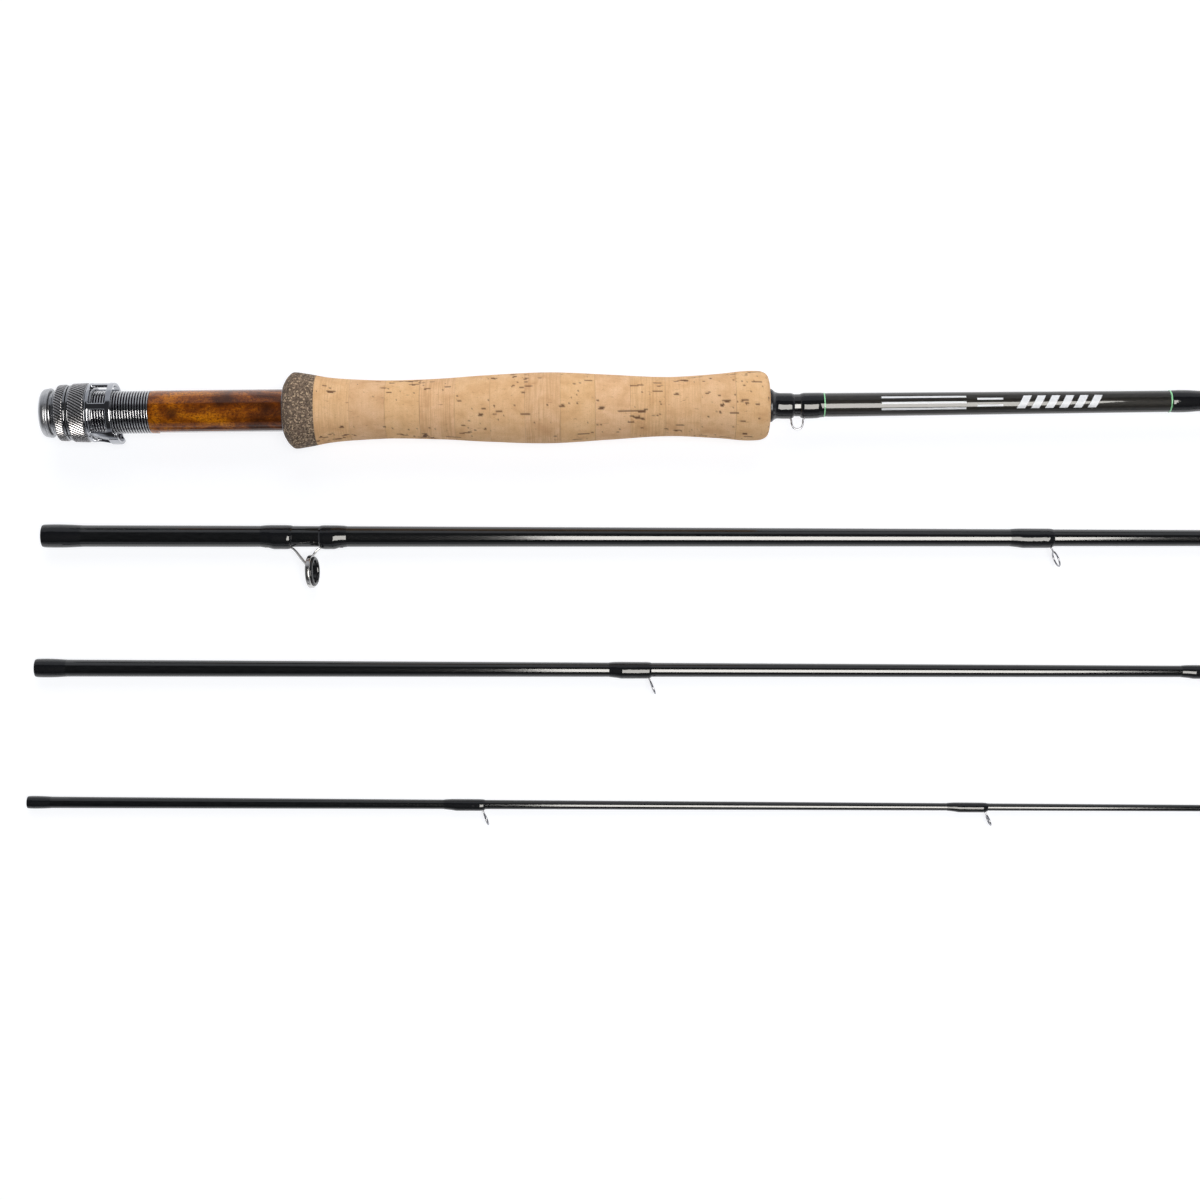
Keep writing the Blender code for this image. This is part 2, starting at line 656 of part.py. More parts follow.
def keeper_path(section):
    """The keeper's wire: a foot, one leg, a half turn, the other leg and its foot."""
    surface = -(section.radius(KEEPER_X) + 0.29)
    half = KEEPER_WIDTH / 2
    bottom = KEEPER_REACH - half
    foot = [Vector((268.8, surface, 0.0)), Vector((270.0, surface, 0.0))]
    bend = [
        Vector((KEEPER_REAR_END, surface, 0.0)),
        Vector((KEEPER_X - half - 0.35, surface - 0.45, 0.0)),
        Vector((KEEPER_X - half, surface - 1.5, 0.0)),
    ]
    left = foot + curve_through(bend, 3)
    turns = [math.radians(180 + 180 * step / 8) for step in range(9)]
    arc = [Vector((KEEPER_X + half * math.cos(a), -bottom + half * math.sin(a), 0.0)) for a in turns]
    right = [Vector((2 * KEEPER_X - p.x, p.y, 0.0)) for p in left[::-1]]
    return left, arc, right


def add_keeper(section, check, wire, thread):
    """Winding check, the hook keeper's wire loop, and the wraps that hold its two feet."""
    start = CHECK_START
    end = CHECK_START + CHECK_LENGTH
    outer = [(start, 5.8), (start + 0.25, CHECK_RADIUS), (end - 0.3, CHECK_RADIUS), (end, 5.85)]
    bore = [(x, section.radius(x) + BORE_PLAY) for x in (start, end)]
    add_tube(section, "winding_check", outer, bore, check)
    start = end + GLUE
    end = KEEPER_REAR_END
    foot = KEEPER_FOOT_SPACE
    outer = [
        (start, 1.7, 1.7),
        (start + 0.5, 1.1, 1.1),
        (start + 1.3, 0.7, 0.8),
        (start + 2.6, 0.48, 0.85),
        (end - 0.6, 0.45, 0.87),
        (end, WRAP_END, foot + WRAP_END),
    ]
    bore = [(start, GLUE, GLUE), (start + 0.9, GLUE, GLUE), (start + 1.3, GLUE, foot), (end, GLUE, foot)]
    add_wrap(section, "keeper_wrap_rear", outer, bore, thread)
    start = KEEPER_FRONT_START
    end = KEEPER_FRONT_END
    outer = [
        (start, WRAP_END, foot + WRAP_END),
        (start + 0.6, 0.45, 0.87),
        (end - 1.8, 0.5, 0.8),
        (end, 0.4, 0.4),
    ]
    bore = [(start, GLUE, foot), (end - 1.8, GLUE, foot), (end - 1.2, GLUE, GLUE), (end, GLUE, GLUE)]
    add_wrap(section, "keeper_wrap_front", outer, bore, thread)
    left, arc, right = keeper_path(section)
    round_wire = (KEEPER_WIRE, KEEPER_WIRE)
    flat_foot = [(0.25, 0.08), (0.45, 0.18), (0.42, 0.2)]
    sizes = flat_foot + [round_wire] * (len(left) - len(flat_foot))
    sizes += [round_wire] * len(arc) + sizes[::-1]
    section.add("hook_keeper", swept(left + arc + right, sizes, Vector((0.0, 0.0, 1.0)), 6), wire)


# ---- the four sections -------------------------------------------------------------------------


def build_butt_section(looks):
    section = Section("butt_section", BUTT_TAPER)
    add_butt_blank(section, looks["blank"])
    add_butt_cap(section, looks["nickel"])
    add_barrel(section, looks["nickel"])
    add_arbor(section, looks["arbor"])
    add_nuts(section, looks["knurl"], looks["nylon"])
    add_hood(section, looks["nickel"])
    add_insert(section, looks["burl_wood"], looks["nickel"])
    add_grip(section, looks["burl_cork"], looks["cork"])
    add_keeper(section, looks["black_metal"], looks["wire"], looks["thread"])
    add_plain_wrap(section, "label_end_wrap", 413.1, 423.1, 0.33, looks["thread"])
    return section


def build_middle_section(name, number, taper, male_radius, wall, looks):
    section = Section(name, taper)
    add_middle_blank(section, f"{name}_blank", male_radius, wall, looks["blank"])
    add_plain_wrap(section, f"{name}_ferrule_wrap", 0.0, 14.4 - 1.5 * number, 0.32, looks["thread"])
    return section


def add_guides(section, prefix, guides, first_number, looks):
    for number, (x, ring_radius, stem) in enumerate(guides, first_number):
        add_single_foot_guide(section, f"{prefix}_guide_{number}", x, ring_radius, stem, looks["wire"])
        length = 12.0 + ring_radius
        add_foot_wrap(section, f"{prefix}_guide_wrap_{number}", x - length, x - 0.8, looks["thread"])


def build_tip_section(male_radius, looks):
    section = Section("tip_section", TIP_TAPER)
    add_tip_blank(section, male_radius, looks["blank"])
    add_plain_wrap(section, "tip_ferrule_wrap", 0.0, 8.6, 0.2, looks["thread"])
    add_guides(section, "tip", TIP_GUIDES, 1, looks)
    add_tip_top(section, looks["wire"])
    end = SECTION_LENGTH
    add_plain_wrap(section, "tip_top_wrap", end - 14.0, end - 7.6, 0.25, looks["thread"])


def make_looks():
    return {
        "blank": look("carbon_blank", (0.035, 0.036, 0.030), 0.18),
        "nickel": look("polished_nickel", (0.55, 0.56, 0.58), 0.15, 1.0),
        "knurl": look("knurled_nickel", (0.30, 0.29, 0.29), 0.30, 1.0),
        "nylon": look("black_nylon", (0.02, 0.02, 0.02), 0.5),
        "arbor": look("arbor_fibre", (0.25, 0.22, 0.18), 0.8),
        "burl_wood": look("burl_wood", (0.42, 0.17, 0.02), 0.12),
        "burl_cork": look("burl_cork", (0.30, 0.24, 0.17), 0.8),
        "cork": look("cork", (0.80, 0.60, 0.38), 0.75),
        "black_metal": look("black_metal", (0.02, 0.02, 0.025), 0.25, 0.6),
        "wire": look("bright_wire", (0.70, 0.70, 0.72), 0.12, 1.0),
        "thread": look("black_thread", (0.008, 0.009, 0.014), 0.08),
        "ceramic": look("black_ceramic", (0.01, 0.01, 0.012), 0.1),
    }


def main():
    clear_scene()
    looks = make_looks()
    butt = build_butt_section(looks)
    second = build_middle_section("section_2", 0, SECTION_2_TAPER, butt.radius, 0.65, looks)
    add_stripping_guide(second, looks["wire"], looks["ceramic"])
    add_foot_wrap(second, "stripping_wrap_rear", 81.3, 91.0, looks["thread"], STRIPPER_FOOT_SPACE)
    add_foot_wrap(second, "stripping_wrap_front", 103.6, 112.6, looks["thread"], STRIPPER_FOOT_SPACE, True)
    add_guides(second, "section_2", SECTION_2_GUIDES, 2, looks)
    third = build_middle_section("section_3", 2, SECTION_3_TAPER, second.radius, 0.55, looks)
    add_guides(third, "section_3", SECTION_3_GUIDES, 1, looks)
    build_tip_section(third.radius, looks)


main()
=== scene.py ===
"""The looks of a four-piece fly rod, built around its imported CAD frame.

Every section is built in its own frame, as in the CAD source: millimetres along X from its butt
end, with the reel or guide side towards -Y. Its matrix then lays it on the surface at z = 0.
"""

import math

import bmesh
import bpy
from mathutils import Euler, Matrix, Vector, noise


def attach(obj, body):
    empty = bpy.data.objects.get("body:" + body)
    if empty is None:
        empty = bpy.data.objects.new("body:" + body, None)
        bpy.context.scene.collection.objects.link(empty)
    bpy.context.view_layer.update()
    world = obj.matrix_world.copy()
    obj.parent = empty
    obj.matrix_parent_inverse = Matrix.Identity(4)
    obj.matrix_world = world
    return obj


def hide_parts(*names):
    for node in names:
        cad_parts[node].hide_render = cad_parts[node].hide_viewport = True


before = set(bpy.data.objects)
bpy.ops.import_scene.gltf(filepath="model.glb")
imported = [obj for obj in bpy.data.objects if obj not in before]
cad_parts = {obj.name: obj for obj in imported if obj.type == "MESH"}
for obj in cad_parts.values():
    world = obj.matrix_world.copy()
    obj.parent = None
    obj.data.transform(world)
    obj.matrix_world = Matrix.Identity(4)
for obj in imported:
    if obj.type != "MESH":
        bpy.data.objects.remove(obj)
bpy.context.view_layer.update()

MM = 0.001

# ---- sizes shared with the CAD source, in millimetres ----

SECTION_LENGTH = 727.0
FERRULE_DEPTH = 55.0
FERRULE_PLAY = 0.03
BUTT_TAPER = [(0.0, 4.65), (SECTION_LENGTH, 3.17)]
SECTION_2_TAPER = [(0.0, 4.05), (73.0, 3.97), (SECTION_LENGTH, 2.20)]
SECTION_3_TAPER = [(0.0, 3.20), (SECTION_LENGTH, 1.38)]
TIP_TAPER = [(0.0, 2.17), (150.0, 1.75), (433.0, 1.21), (SECTION_LENGTH, 0.75)]
# Each section's x and y, its yaw in degrees, the rear and front (x, radius) that it rests on, and its roll.
LAYOUT = {
    "butt_section": (-358.7, 69.1, 0.65, (92.1, 13.97), (259.2, 12.77), 0.0),
    "section_2": (-361.9, 24.5, -0.10, (91.0, 4.64), (641.0, 3.0), 7.0),
    "section_3": (-364.9, -24.6, -0.175, (221.0, 3.21), (636.0, 2.17), 3.9),
    "tip_section": (-368.3, -74.7, -0.29, (163.0, 2.3), (730.0, 2.0), 1.8),
}
GRIP_START = 88.5
GRIP_LENGTH = 176.96
GRIP_END = GRIP_START + GRIP_LENGTH
BURL_LENGTH = 11.6
CORK_COUNT = 13
CORK_LENGTH = (GRIP_LENGTH - BURL_LENGTH) / CORK_COUNT
CORK_SIDES = 150
SEAM_GAP = 0.02
SEAM_SHOW = [0.15, 0.5, 0.1, 0.9, 0.2]
GRIP_OUTLINE = [
    (0.0, 10.2), (1.4, 12.4), (3.6, 13.97), (8.0, 13.4), (16.8, 11.85), (26.0, 11.1), (39.0, 10.65),
    (56.0, 11.1), (74.0, 12.2), (96.0, 13.0), (118.0, 11.95), (140.0, 10.85), (157.5, 11.7),
    (170.5, 12.77), (173.4, 12.66), (175.4, 12.0), (176.5, 10.9), (GRIP_LENGTH, 9.4),
]
# Each guide's x, the radius of its ring and the length of its stem.
SECTION_2_GUIDES = [(374.5, 3.2, 2.0), (645.0, 2.9, 1.6)]
SECTION_3_GUIDES = [(228.0, 2.8, 1.4), (441.0, 2.6, 1.4), (642.0, 2.5, 1.4)]
TIP_GUIDES = [(169.5, 2.45, 1.5), (356.8, 2.3, 1.5), (497.0, 2.2, 1.4), (620.0, 2.1, 1.4)]
TO_GUIDES = Vector((0.0, -1.0, 0.0))
GUIDE_LEAN = math.radians(22)
GUIDE_WIRE = 0.32
STRIPPER_X = 100.0
STRIPPER_REACH = 13.1
STRIPPER_TWIST = math.radians(8)
WOOD_PALE_END = -318.0
WOOD_DARK_END = -262.0
# Each knot's place, its radius and how dark it is.
WOOD_KNOTS = [
    ((-309.0, 69.5, 24.5), 3.6, 0.85), ((-292.0, 75.0, 21.0), 6.0, 0.5), ((-275.0, 70.5, 23.0), 5.0, 0.5),
]
SEAT_BORE = 6.35
NUT_BORE = 7.95
BARREL_START = 3.95
BARREL_END = 39.5
BARREL_CREST = 7.8
THREAD_PITCH = 1.0
THREAD_DEPTH = 0.48
KNURL_RIDGES = 60
KNURL_DEPTH = 0.28
KNURL_SLOPE = 0.6
KNURL_PROFILE = [0.0, 0.1, 0.75, 1.0, 0.75, 0.1]
HOOD_REAR = 17.36
HOOD_FRONT = 26.7
HOOD_SIZE = 10.9
INSERT_START = 39.56
INSERT_END = 98.0
INSERT_SIZE = 7.85
LABEL_START = 285.75
LABEL_END = 412.95
# The height above the blank at which the label's print starts.
PRINT_HEIGHTS = [(LABEL_START, 0.31), (325.0, 0.27), (382.0, 0.165), (413.0, 0.14)]

# ---- the studio --------------------------

# The walls' brightness by degrees from straight up, positive towards -Y, and the end walls' by the X part
# of the direction. The brighter of the two shows.
WALLS = [(-90, 0.62), (-45, 0.52), (-38, 0.05), (64, 0.03), (74, 0.35), (90, 0.5)]
END_WALLS = [(-0.85, 0.6), (-0.66, 0.0), (0.68, 0.0), (0.86, 0.35)]
SKY_TINT = (0.96, 0.99, 1.05)
FLOOR_GLOW = (0.965, 0.975, 1.0)
CARD_COLOUR = (1.0, 0.97, 0.92)
CAMERA_PLACE = (-0.1551, 0.0007, 0.694)
CAMERA_LENS = 55.65

# The number of sides of a turned piece: the seat's pieces, and the slim blanks and wraps.
ROUND = 96
SLIM = 48


# ---- shapes ------------------------------


def interpolate(stations, x):
    for (x0, v0), (x1, v1) in zip(stations, stations[1:]):
        if x <= x1:
            return v0 + (v1 - v0) * (x - x0) / (x1 - x0)
    return stations[-1][1]


def smooth_between(stations, x):
    """The value at x on a smooth curve through (x, value) stations, which never overshoots them."""
    slopes = [(b[1] - a[1]) / (b[0] - a[0]) for a, b in zip(stations, stations[1:])]
    tangents = [slopes[0]]
    for before, after in zip(slopes, slopes[1:]):
        level = before * after <= 0
        tangents.append(0.0 if level else 2 * before * after / (before + after))
    tangents.append(slopes[-1])
    for i, ((x0, v0), (x1, v1)) in enumerate(zip(stations, stations[1:])):
        if x <= x1:
            span = x1 - x0
            t = (x - x0) / span
            start = (1 + 2 * t) * (1 - t) ** 2 * v0 + t * (1 - t) ** 2 * span * tangents[i]
            end = t * t * (3 - 2 * t) * v1 - t * t * (1 - t) * span * tangents[i + 1]
            return start + end
    return stations[-1][1]


def smooth_step(low, high, value):
    t = min(max((value - low) / (high - low), 0.0), 1.0)
    return t * t * (3 - 2 * t)


def spread(start, end, count):
    return [start + (end - start) * i / count for i in range(count + 1)]


def linked(name, data):
    item = bpy.data.objects.new(name, data)
    bpy.context.collection.objects.link(item)
    return item


class Section:
    """One section of the rod: the matrix that lays it down, its body and its blank's taper."""

    def __init__(self, name, taper):
        x, y, yaw, rear, front, roll = LAYOUT[name]
        slope = (rear[1] - front[1]) / (front[0] - rear[0])
        height = rear[1] + slope * rear[0]
        turn = Euler((math.radians(-roll), math.atan(slope), math.radians(yaw)))
        self.matrix = Matrix.Translation((x * MM, y * MM, height * MM)) @ turn.to_matrix().to_4x4()
        self.body = name
        self.taper = taper

    def radius(self, x):
        return interpolate(self.taper, x)

    def add(self, name, shape, look, node=None, body=None, slot=None, sharp=40.0):
        """Lays a bmesh in this section's millimetres down as a piece that rides on a CAD body."""
        bmesh.ops.recalc_face_normals(shape, faces=shape.faces)
        bmesh.ops.transform(shape, matrix=self.matrix @ Matrix.Scale(MM, 4), verts=shape.verts)
        mesh = bpy.data.meshes.new(name)
        shape.to_mesh(mesh)
        shape.free()
        mesh.shade_smooth()
        mesh.set_sharp_from_angle(angle=math.radians(sharp))
        mesh.materials.append(LOOKS[look])
        piece = linked(name, mesh)
        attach(piece, body or self.body)
        if node:
            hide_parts(node)
        return piece


def bridge(shape, rings, closed=True):
    """Skins a list of vertex rings. A closed run joins the last to the first; an open one is capped."""
    following = rings[1:] + rings[:1] if closed else rings[1:]
    for near, far in zip(rings, following):
        for i in range(len(near)):
            j = (i + 1) % len(near)
            shape.faces.new((near[i], near[j], far[j], far[i]))
    if not closed:
        shape.faces.new(rings[0])
        shape.faces.new(rings[-1])
    return shape


def around(shape, x, radii, offset=0.0, twist=0.0):
    """A ring of new vertices about X, one for each radius. offset moves it along Y, and twist turns it."""
    ring = []
    for i, radius in enumerate(radii):
        angle = 2 * math.pi * i / len(radii) + twist
        ring.append(shape.verts.new((x, offset + radius * math.cos(angle), radius * math.sin(angle))))
    return ring


def turned(stations, sides=ROUND, closed=True):
    """A piece turned about X, from (x, radius) or (x, radius, y of its centre) stations."""
    shape = bmesh.new()
    rings = [around(shape, x, [radius] * sides, *centre) for x, radius, *centre in stations]
    return bridge(shape, rings, closed)


def softened(profile, size, steps=4, closed=True):
    """The same profile with each corner rounded off over at most size."""
    points = [Vector(point[:2]) for point in profile]
    count = len(points)
    result = []
    for i, point in enumerate(points):
        if not closed and i in (0, count - 1):
            result.append(tuple(point))
            continue
        before = points[i - 1] - point
        after = points[(i + 1) % count] - point
        if before.length < 1e-6 or after.length < 1e-6:
            result.append(tuple(point))
            continue
        start = point + before.normalized() * min(size, before.length * 0.45)
        end = point + after.normalized() * min(size, after.length * 0.45)
        for step in range(steps + 1):
            t = step / steps
            result.append(tuple(start * (1 - t) ** 2 + point * 2 * t * (1 - t) + end * t * t))
    return result


def field(xs, sides, radius, bore):
    """A turned piece whose outer radius is radius(x, angle), with a plain bore of (x, radius) stations."""
    shape = bmesh.new()
    angles = [2 * math.pi * i / sides for i in range(sides)]
    rings = [around(shape, x, [radius(x, angle) for angle in angles]) for x in xs]
    rings += [around(shape, x, [r] * sides) for x, r in bore[::-1]]
    return bridge(shape, rings)


def curve_through(points, steps):
    """Points on a smooth Catmull-Rom curve through the given ones."""
    ends = [2 * points[0] - points[1]] + points + [2 * points[-1] - points[-2]]
    path = []
    for a, b, c, d in zip(ends, ends[1:], ends[2:], ends[3:]):
        for step in range(steps):
            t = step / steps
            path.append(
                0.5 * (2 * b + (c - a) * t + (2 * a - 5 * b + 4 * c - d) * t * t
                       + (3 * b - a - 3 * c + d) * t ** 3)
            )
    return path + [points[-1]]


def swept(path, sizes, facing, sides=14, closed=False, shape=None):
    """A wire along path. sizes gives each point's half thickness along facing, and half width."""
    shape = shape or bmesh.new()
    count = len(path)
    if len(sizes) < count:
        sizes = resampled(sizes, count)
    rings = []
    for i, point in enumerate(path):
        if closed:
            along = (path[(i + 1) % count] - path[i - 1]).normalized()
        else:
            along = (path[min(i + 1, count - 1)] - path[max(i - 1, 0)]).normalized()
        facing = (facing - along * facing.dot(along)).normalized()
        across = along.cross(facing)
        thick, wide = sizes[i]
        ring = []
        for k in range(sides):
            turn = 2 * math.pi * k / sides
            corner = facing * thick * math.cos(turn) + across * wide * math.sin(turn)
            ring.append(shape.verts.new(point + corner))
        rings.append(ring)
    return bridge(shape, rings, closed)


def resampled(sizes, count):
    """Stretches a short list of (half thickness, half width) over count points."""
    if len(sizes) == 1:
        return sizes * count
    result = []
    for i in range(count):
        place = i * (len(sizes) - 1) / (count - 1)
        low = min(int(place), len(sizes) - 2)
        part = place - low
        result.append(tuple(a + (b - a) * part for a, b in zip(sizes[low], sizes[low + 1])))
    return result


def paint(piece, name, values):
    """Stores a number for each vertex, for the piece's material to read. Those past the list's end get 0."""
    attribute = piece.data.attributes.new(name, "FLOAT", "POINT")
    rest = len(piece.data.vertices) - len(values)
    attribute.data.foreach_set("value", values + [0.0] * rest)


# ---- materials ---------------------------


class Nodes:
    """A node tree, with the kinds of node that the looks and the studio share."""

    def __init__(self, tree):
        self.tree = tree

    def node(self, kind, inputs, **values):
        """Makes a node with the given properties, and feeds its inputs, a dictionary by socket."""
        made = self.tree.nodes.new(kind)
        for name, value in values.items():
            setattr(made, name, value)
        for socket, value in inputs.items():
            self.feed(made.inputs[socket], value)
        return made

    def feed(self, socket, value):
        """Links value to the socket, or sets it there if it is a constant."""
        if hasattr(value, "links"):
            self.tree.links.new(value, socket)
        else:
            socket.default_value = value

    def sums(self, operation, a, b):
        return self.node("ShaderNodeMath", {0: a, 1: b}, operation=operation).outputs["Value"]

    def vectors(self, operation, a, b):
        """Adds two vectors, scales the first by b, or gives the distance between them."""
        second = "Scale" if operation == "SCALE" else 1
        node = self.node("ShaderNodeVectorMath", {0: a, second: b}, operation=operation)
        return node.outputs["Value" if operation == "DISTANCE" else "Vector"]

    def span(self, value, source, target, **values):
        """Maps value from the source range to the target range."""
        ends = {"From Min": source[0], "From Max": source[1], "To Min": target[0], "To Max": target[1]}
        return self.node("ShaderNodeMapRange", {"Value": value, **ends}, **values).outputs["Result"]

    def ramp(self, factor, *stops):
        """A colour for factor, from (place, grey level or colour) stops."""
        ramp = self.node("ShaderNodeValToRGB", {"Fac": factor})
        elements = ramp.color_ramp.elements
        while len(elements) < len(stops):
            elements.new(0.5)
        for element, (place, colour) in zip(elements, stops):
            element.position = place
            shade = colour if isinstance(colour, tuple) else (colour,) * 3
            element.color = (*shade, 1.0)
        return ramp.outputs["Color"]


class Look(Nodes):
    """A Principled material, with the textures that the pieces use."""

    def __init__(self, name, colour, roughness, metallic=0.0, **sockets):
        self.material = bpy.data.materials.new(name)
        self.material.use_nodes = True
        super().__init__(self.material.node_tree)
        self.shader = self.tree.nodes["Principled BSDF"]
        self.shader.inputs["Base Color"].default_value = (*colour, 1.0)
        self.shader.inputs["Roughness"].default_value = roughness
        self.shader.inputs["Metallic"].default_value = metallic
        for socket, value in sockets.items():
            self.shader.inputs[socket.replace("_", " ")].default_value = value
        self.place = self.node("ShaderNodeTexCoord", {}).outputs["Object"]

    def stretched(self, scale, offset=(0.0, 0.0, 0.0)):
        """The object's coordinates in millimetres, times the scale along X and the one across it."""
        along, across = scale
        size = (along / MM, across / MM, across / MM)
        inputs = {"Vector": self.place, "Scale": size, "Location": offset}
        return self.node("ShaderNodeMapping", inputs).outputs["Vector"]

    def cloud(self, scale, detail, rough=0.55, warp=0.0, offset=(0.0, 0.0, 0.0)):
        place = self.stretched(scale, offset)
        inputs = {"Vector": place, "Scale": 1.0, "Detail": detail, "Roughness": rough, "Distortion": warp}
        return self.node("ShaderNodeTexNoise", inputs).outputs["Fac"]

    def cells(self, scale, output="Color", feature="F1"):
        inputs = {"Vector": self.stretched(scale), "Scale": 1.0}
        return self.node("ShaderNodeTexVoronoi", inputs, feature=feature).outputs[output]

    def waves(self, pitch, warp):
        """Bands along X, one for each pitch in millimetres."""
        place = self.stretched((1.0, 1.0))
        inputs = {"Vector": place, "Scale": math.pi / 10 / pitch, "Distortion": warp, "Detail": 2.0}
        return self.node("ShaderNodeTexWave", inputs, bands_direction="X").outputs["Fac"]

    def attribute(self, name):
        return self.node("ShaderNodeAttribute", {}, attribute_name=name).outputs["Fac"]

    def mix(self, factor, a, b):
        mix = self.node("ShaderNodeMix", {"Factor": factor}, data_type="RGBA")
        colours = [socket for socket in mix.inputs if socket.type == "RGBA"]
        for socket, value in zip(colours, (a, b)):
            self.feed(socket, (*value, 1.0) if isinstance(value, tuple) else value)
        return [socket for socket in mix.outputs if socket.type == "RGBA"][0]

    def colour(self, value):
        self.feed(self.shader.inputs["Base Color"], value)

    def roughness(self, factor, low, high):
        self.feed(self.shader.inputs["Roughness"], self.span(factor, (0.0, 1.0), (low, high)))

    def bump(self, height, strength, distance, socket="Normal"):
        """Adds a bump to the shader's Normal or Coat Normal, on top of any that is there."""
        target = self.shader.inputs[socket]
        inputs = {"Height": height, "Strength": strength, "Distance": distance * MM}
        bump = self.node("ShaderNodeBump", inputs)
        if target.is_linked:
            self.feed(bump.inputs["Normal"], target.links[0].from_socket)
        self.feed(target, bump.outputs["Normal"])


def nickel_look(name, colour, roughness):
    look = Look(name, colour, roughness, 1.0)
    smudge = look.cloud((0.35, 0.35), 5.0, 0.6)
    look.colour(look.ramp(smudge, (0.3, tuple(c * 0.86 for c in colour)), (0.7, colour)))
    scratch = look.cloud((6.0, 0.5), 3.0, 0.7, offset=(3.0, 1.0, 2.0))
    look.roughness(scratch, roughness * 0.7, roughness * 1.5)
    look.bump(scratch, 0.06, 0.02)
    return look.material


def cut_metal_look(name, root, dull, bright, roughness):
    """Cut nickel: worn metal colour on its crests, and a dark colour painted into the roots as shade, as its
    crest attribute says.
    """
    look = Look(name, bright, roughness, 1.0)
    wear = look.cloud((0.9, 0.9), 4.0, 0.6)
    worn = look.ramp(wear, (0.3, dull), (0.7, bright))
    # The root colour is painted shade: the valleys are darkened in the colour itself.
    look.colour(look.mix(look.attribute("crest"), root, worn))
    look.roughness(wear, roughness * 0.8, roughness * 1.4)
    return look.material


def carbon_look():
    look = Look("carbon_blank", (0.005, 0.0055, 0.006), 0.12, Specular_IOR_Level=0.85)
    grain = look.cloud((0.25, 2.2), 4.0, 0.6)
    look.colour(look.ramp(grain, (0.35, (0.0028, 0.0030, 0.0034)), (0.68, (0.0085, 0.0090, 0.0095))))
    look.roughness(look.cloud((1.1, 3.0), 3.0, 0.6, offset=(7.0, 3.0, 1.0)), 0.08, 0.13)
    look.bump(look.waves(1.6, 0.8), 0.05, 0.006)
    return look.material


def label_look():
    look = Look("tinted_coat", (0.02, 0.017, 0.010), 0.5, Specular_IOR_Level=0.15, Coat_Weight=1.0,
                Coat_Roughness=0.04)
    grain = look.cloud((0.5, 2.6), 4.0, 0.6)
    look.colour(look.ramp(grain, (0.35, (0.008, 0.007, 0.006)), (0.7, (0.022, 0.019, 0.014))))
    look.bump(look.waves(0.55, 1.5), 0.12, 0.02)
    look.bump(look.cloud((0.18, 0.6), 2.0), 0.25, 0.03, "Coat Normal")
    return look.material


def thread_look(name="black_thread", dark=(0.0012, 0.0015, 0.0026), light=(0.0045, 0.0055, 0.0085)):
    look = Look(name, dark, 0.6, Specular_IOR_Level=0.08, Coat_Weight=1.0, Coat_Roughness=0.03)
    strand = look.waves(0.2, 0.3)
    fibre = look.cloud((1.5, 5.0), 3.0, 0.6)
    look.colour(look.mix(look.sums("MULTIPLY", strand, fibre), dark, light))
    look.bump(strand, 0.5, 0.03)
    swell = look.cloud((0.30, 0.45), 2.0, 0.5, offset=(1.0, 5.0, 2.0))
    look.bump(swell, 0.9, 0.10, "Coat Normal")
    return look.material


def cork_look(number):
    """Sanded cork: a soft tan mottle with few lenticels, and the fine rings its lathe left on it."""
    warm = (math.sin(number * 2.4) + math.sin(number * 5.1)) * 0.5
    shift = (number * 13.0, number * 7.0, number * 3.0)
    look = Look(f"cork_{number:02d}", (0.66, 0.42, 0.22), 0.80, Specular_IOR_Level=0.2)
    tone = 1.0 + 0.03 * warm
    cool = 1.0 - 0.04 * math.sin(number * 3.7)
    pale = (0.79 * tone, 0.51 * tone, 0.285 * tone / cool)
    tan = (0.73 * tone, 0.45 * tone, 0.235 * tone / cool)
    rust = (0.64 * tone, 0.37 * tone, 0.185 * tone / cool)
    mottle = look.cloud((0.16, 0.20), 5.0, 0.55, 0.3, shift)
    base = look.ramp(mottle, (0.30, rust), (0.46, tan), (0.64, pale))
    line_strength = 0.10 + 0.32 * smooth_step(0.1, 0.9, math.sin(number * 1.9 + 0.6))
    lines = look.cloud((2.3, 0.07), 2.0, 0.6, 0.0, shift)
    base = look.mix(look.ramp(lines, (0.42, line_strength), (0.54, 0.0)), base, (0.52, 0.28, 0.125))
    grain = look.cloud((2.2, 3.2), 3.0, 0.7, 0.0, shift)
    base = look.mix(look.ramp(grain, (0.32, 0.50), (0.48, 0.0)), base, (0.50, 0.27, 0.12))
    streak = look.cloud((0.34, 1.9), 3.0, 0.6, 0.4, tuple(s + 4.0 for s in shift))
    base = look.mix(look.ramp(streak, (0.64, 0.0), (0.72, 0.7)), base, (0.36, 0.18, 0.085))
    base = look.mix(look.attribute("pit"), base, (0.13, 0.065, 0.035))
    base = look.mix(look.attribute("seam"), base, (0.24, 0.13, 0.06))
    look.colour(base)
    look.roughness(grain, 0.70, 0.9)
    look.bump(grain, 0.35, 0.06)
    look.bump(lines, 0.6, 0.10)
    return look.material


def burl_cork_look():
    """Composite cork: dark ground granules, tan and pale chips, bound and turned."""
    look = Look("burl_cork", (0.14, 0.10, 0.07), 0.78, Specular_IOR_Level=0.25)
    parts = look.node("ShaderNodeSeparateColor", {"Color": look.cells((1.9, 1.9))})
    chips = look.ramp(
        parts.outputs["Red"],
        (0.0, (0.020, 0.013, 0.010)), (0.30, (0.070, 0.047, 0.034)), (0.55, (0.145, 0.100, 0.070)),
        (0.78, (0.30, 0.210, 0.140)), (0.93, (0.72, 0.53, 0.34)),
    )
    dust = look.cloud((4.0, 4.0), 3.0, 0.75)
    fine = look.ramp(dust, (0.36, (0.020, 0.013, 0.010)), (0.64, (0.30, 0.215, 0.150)))
    look.colour(look.mix(0.45, chips, fine))
    look.bump(look.cells((1.9, 1.9), "Distance", "DISTANCE_TO_EDGE"), 0.3, 0.12)
    look.bump(look.cloud((2.6, 2.6), 3.0, 0.7), 0.4, 0.07)
    return look.material


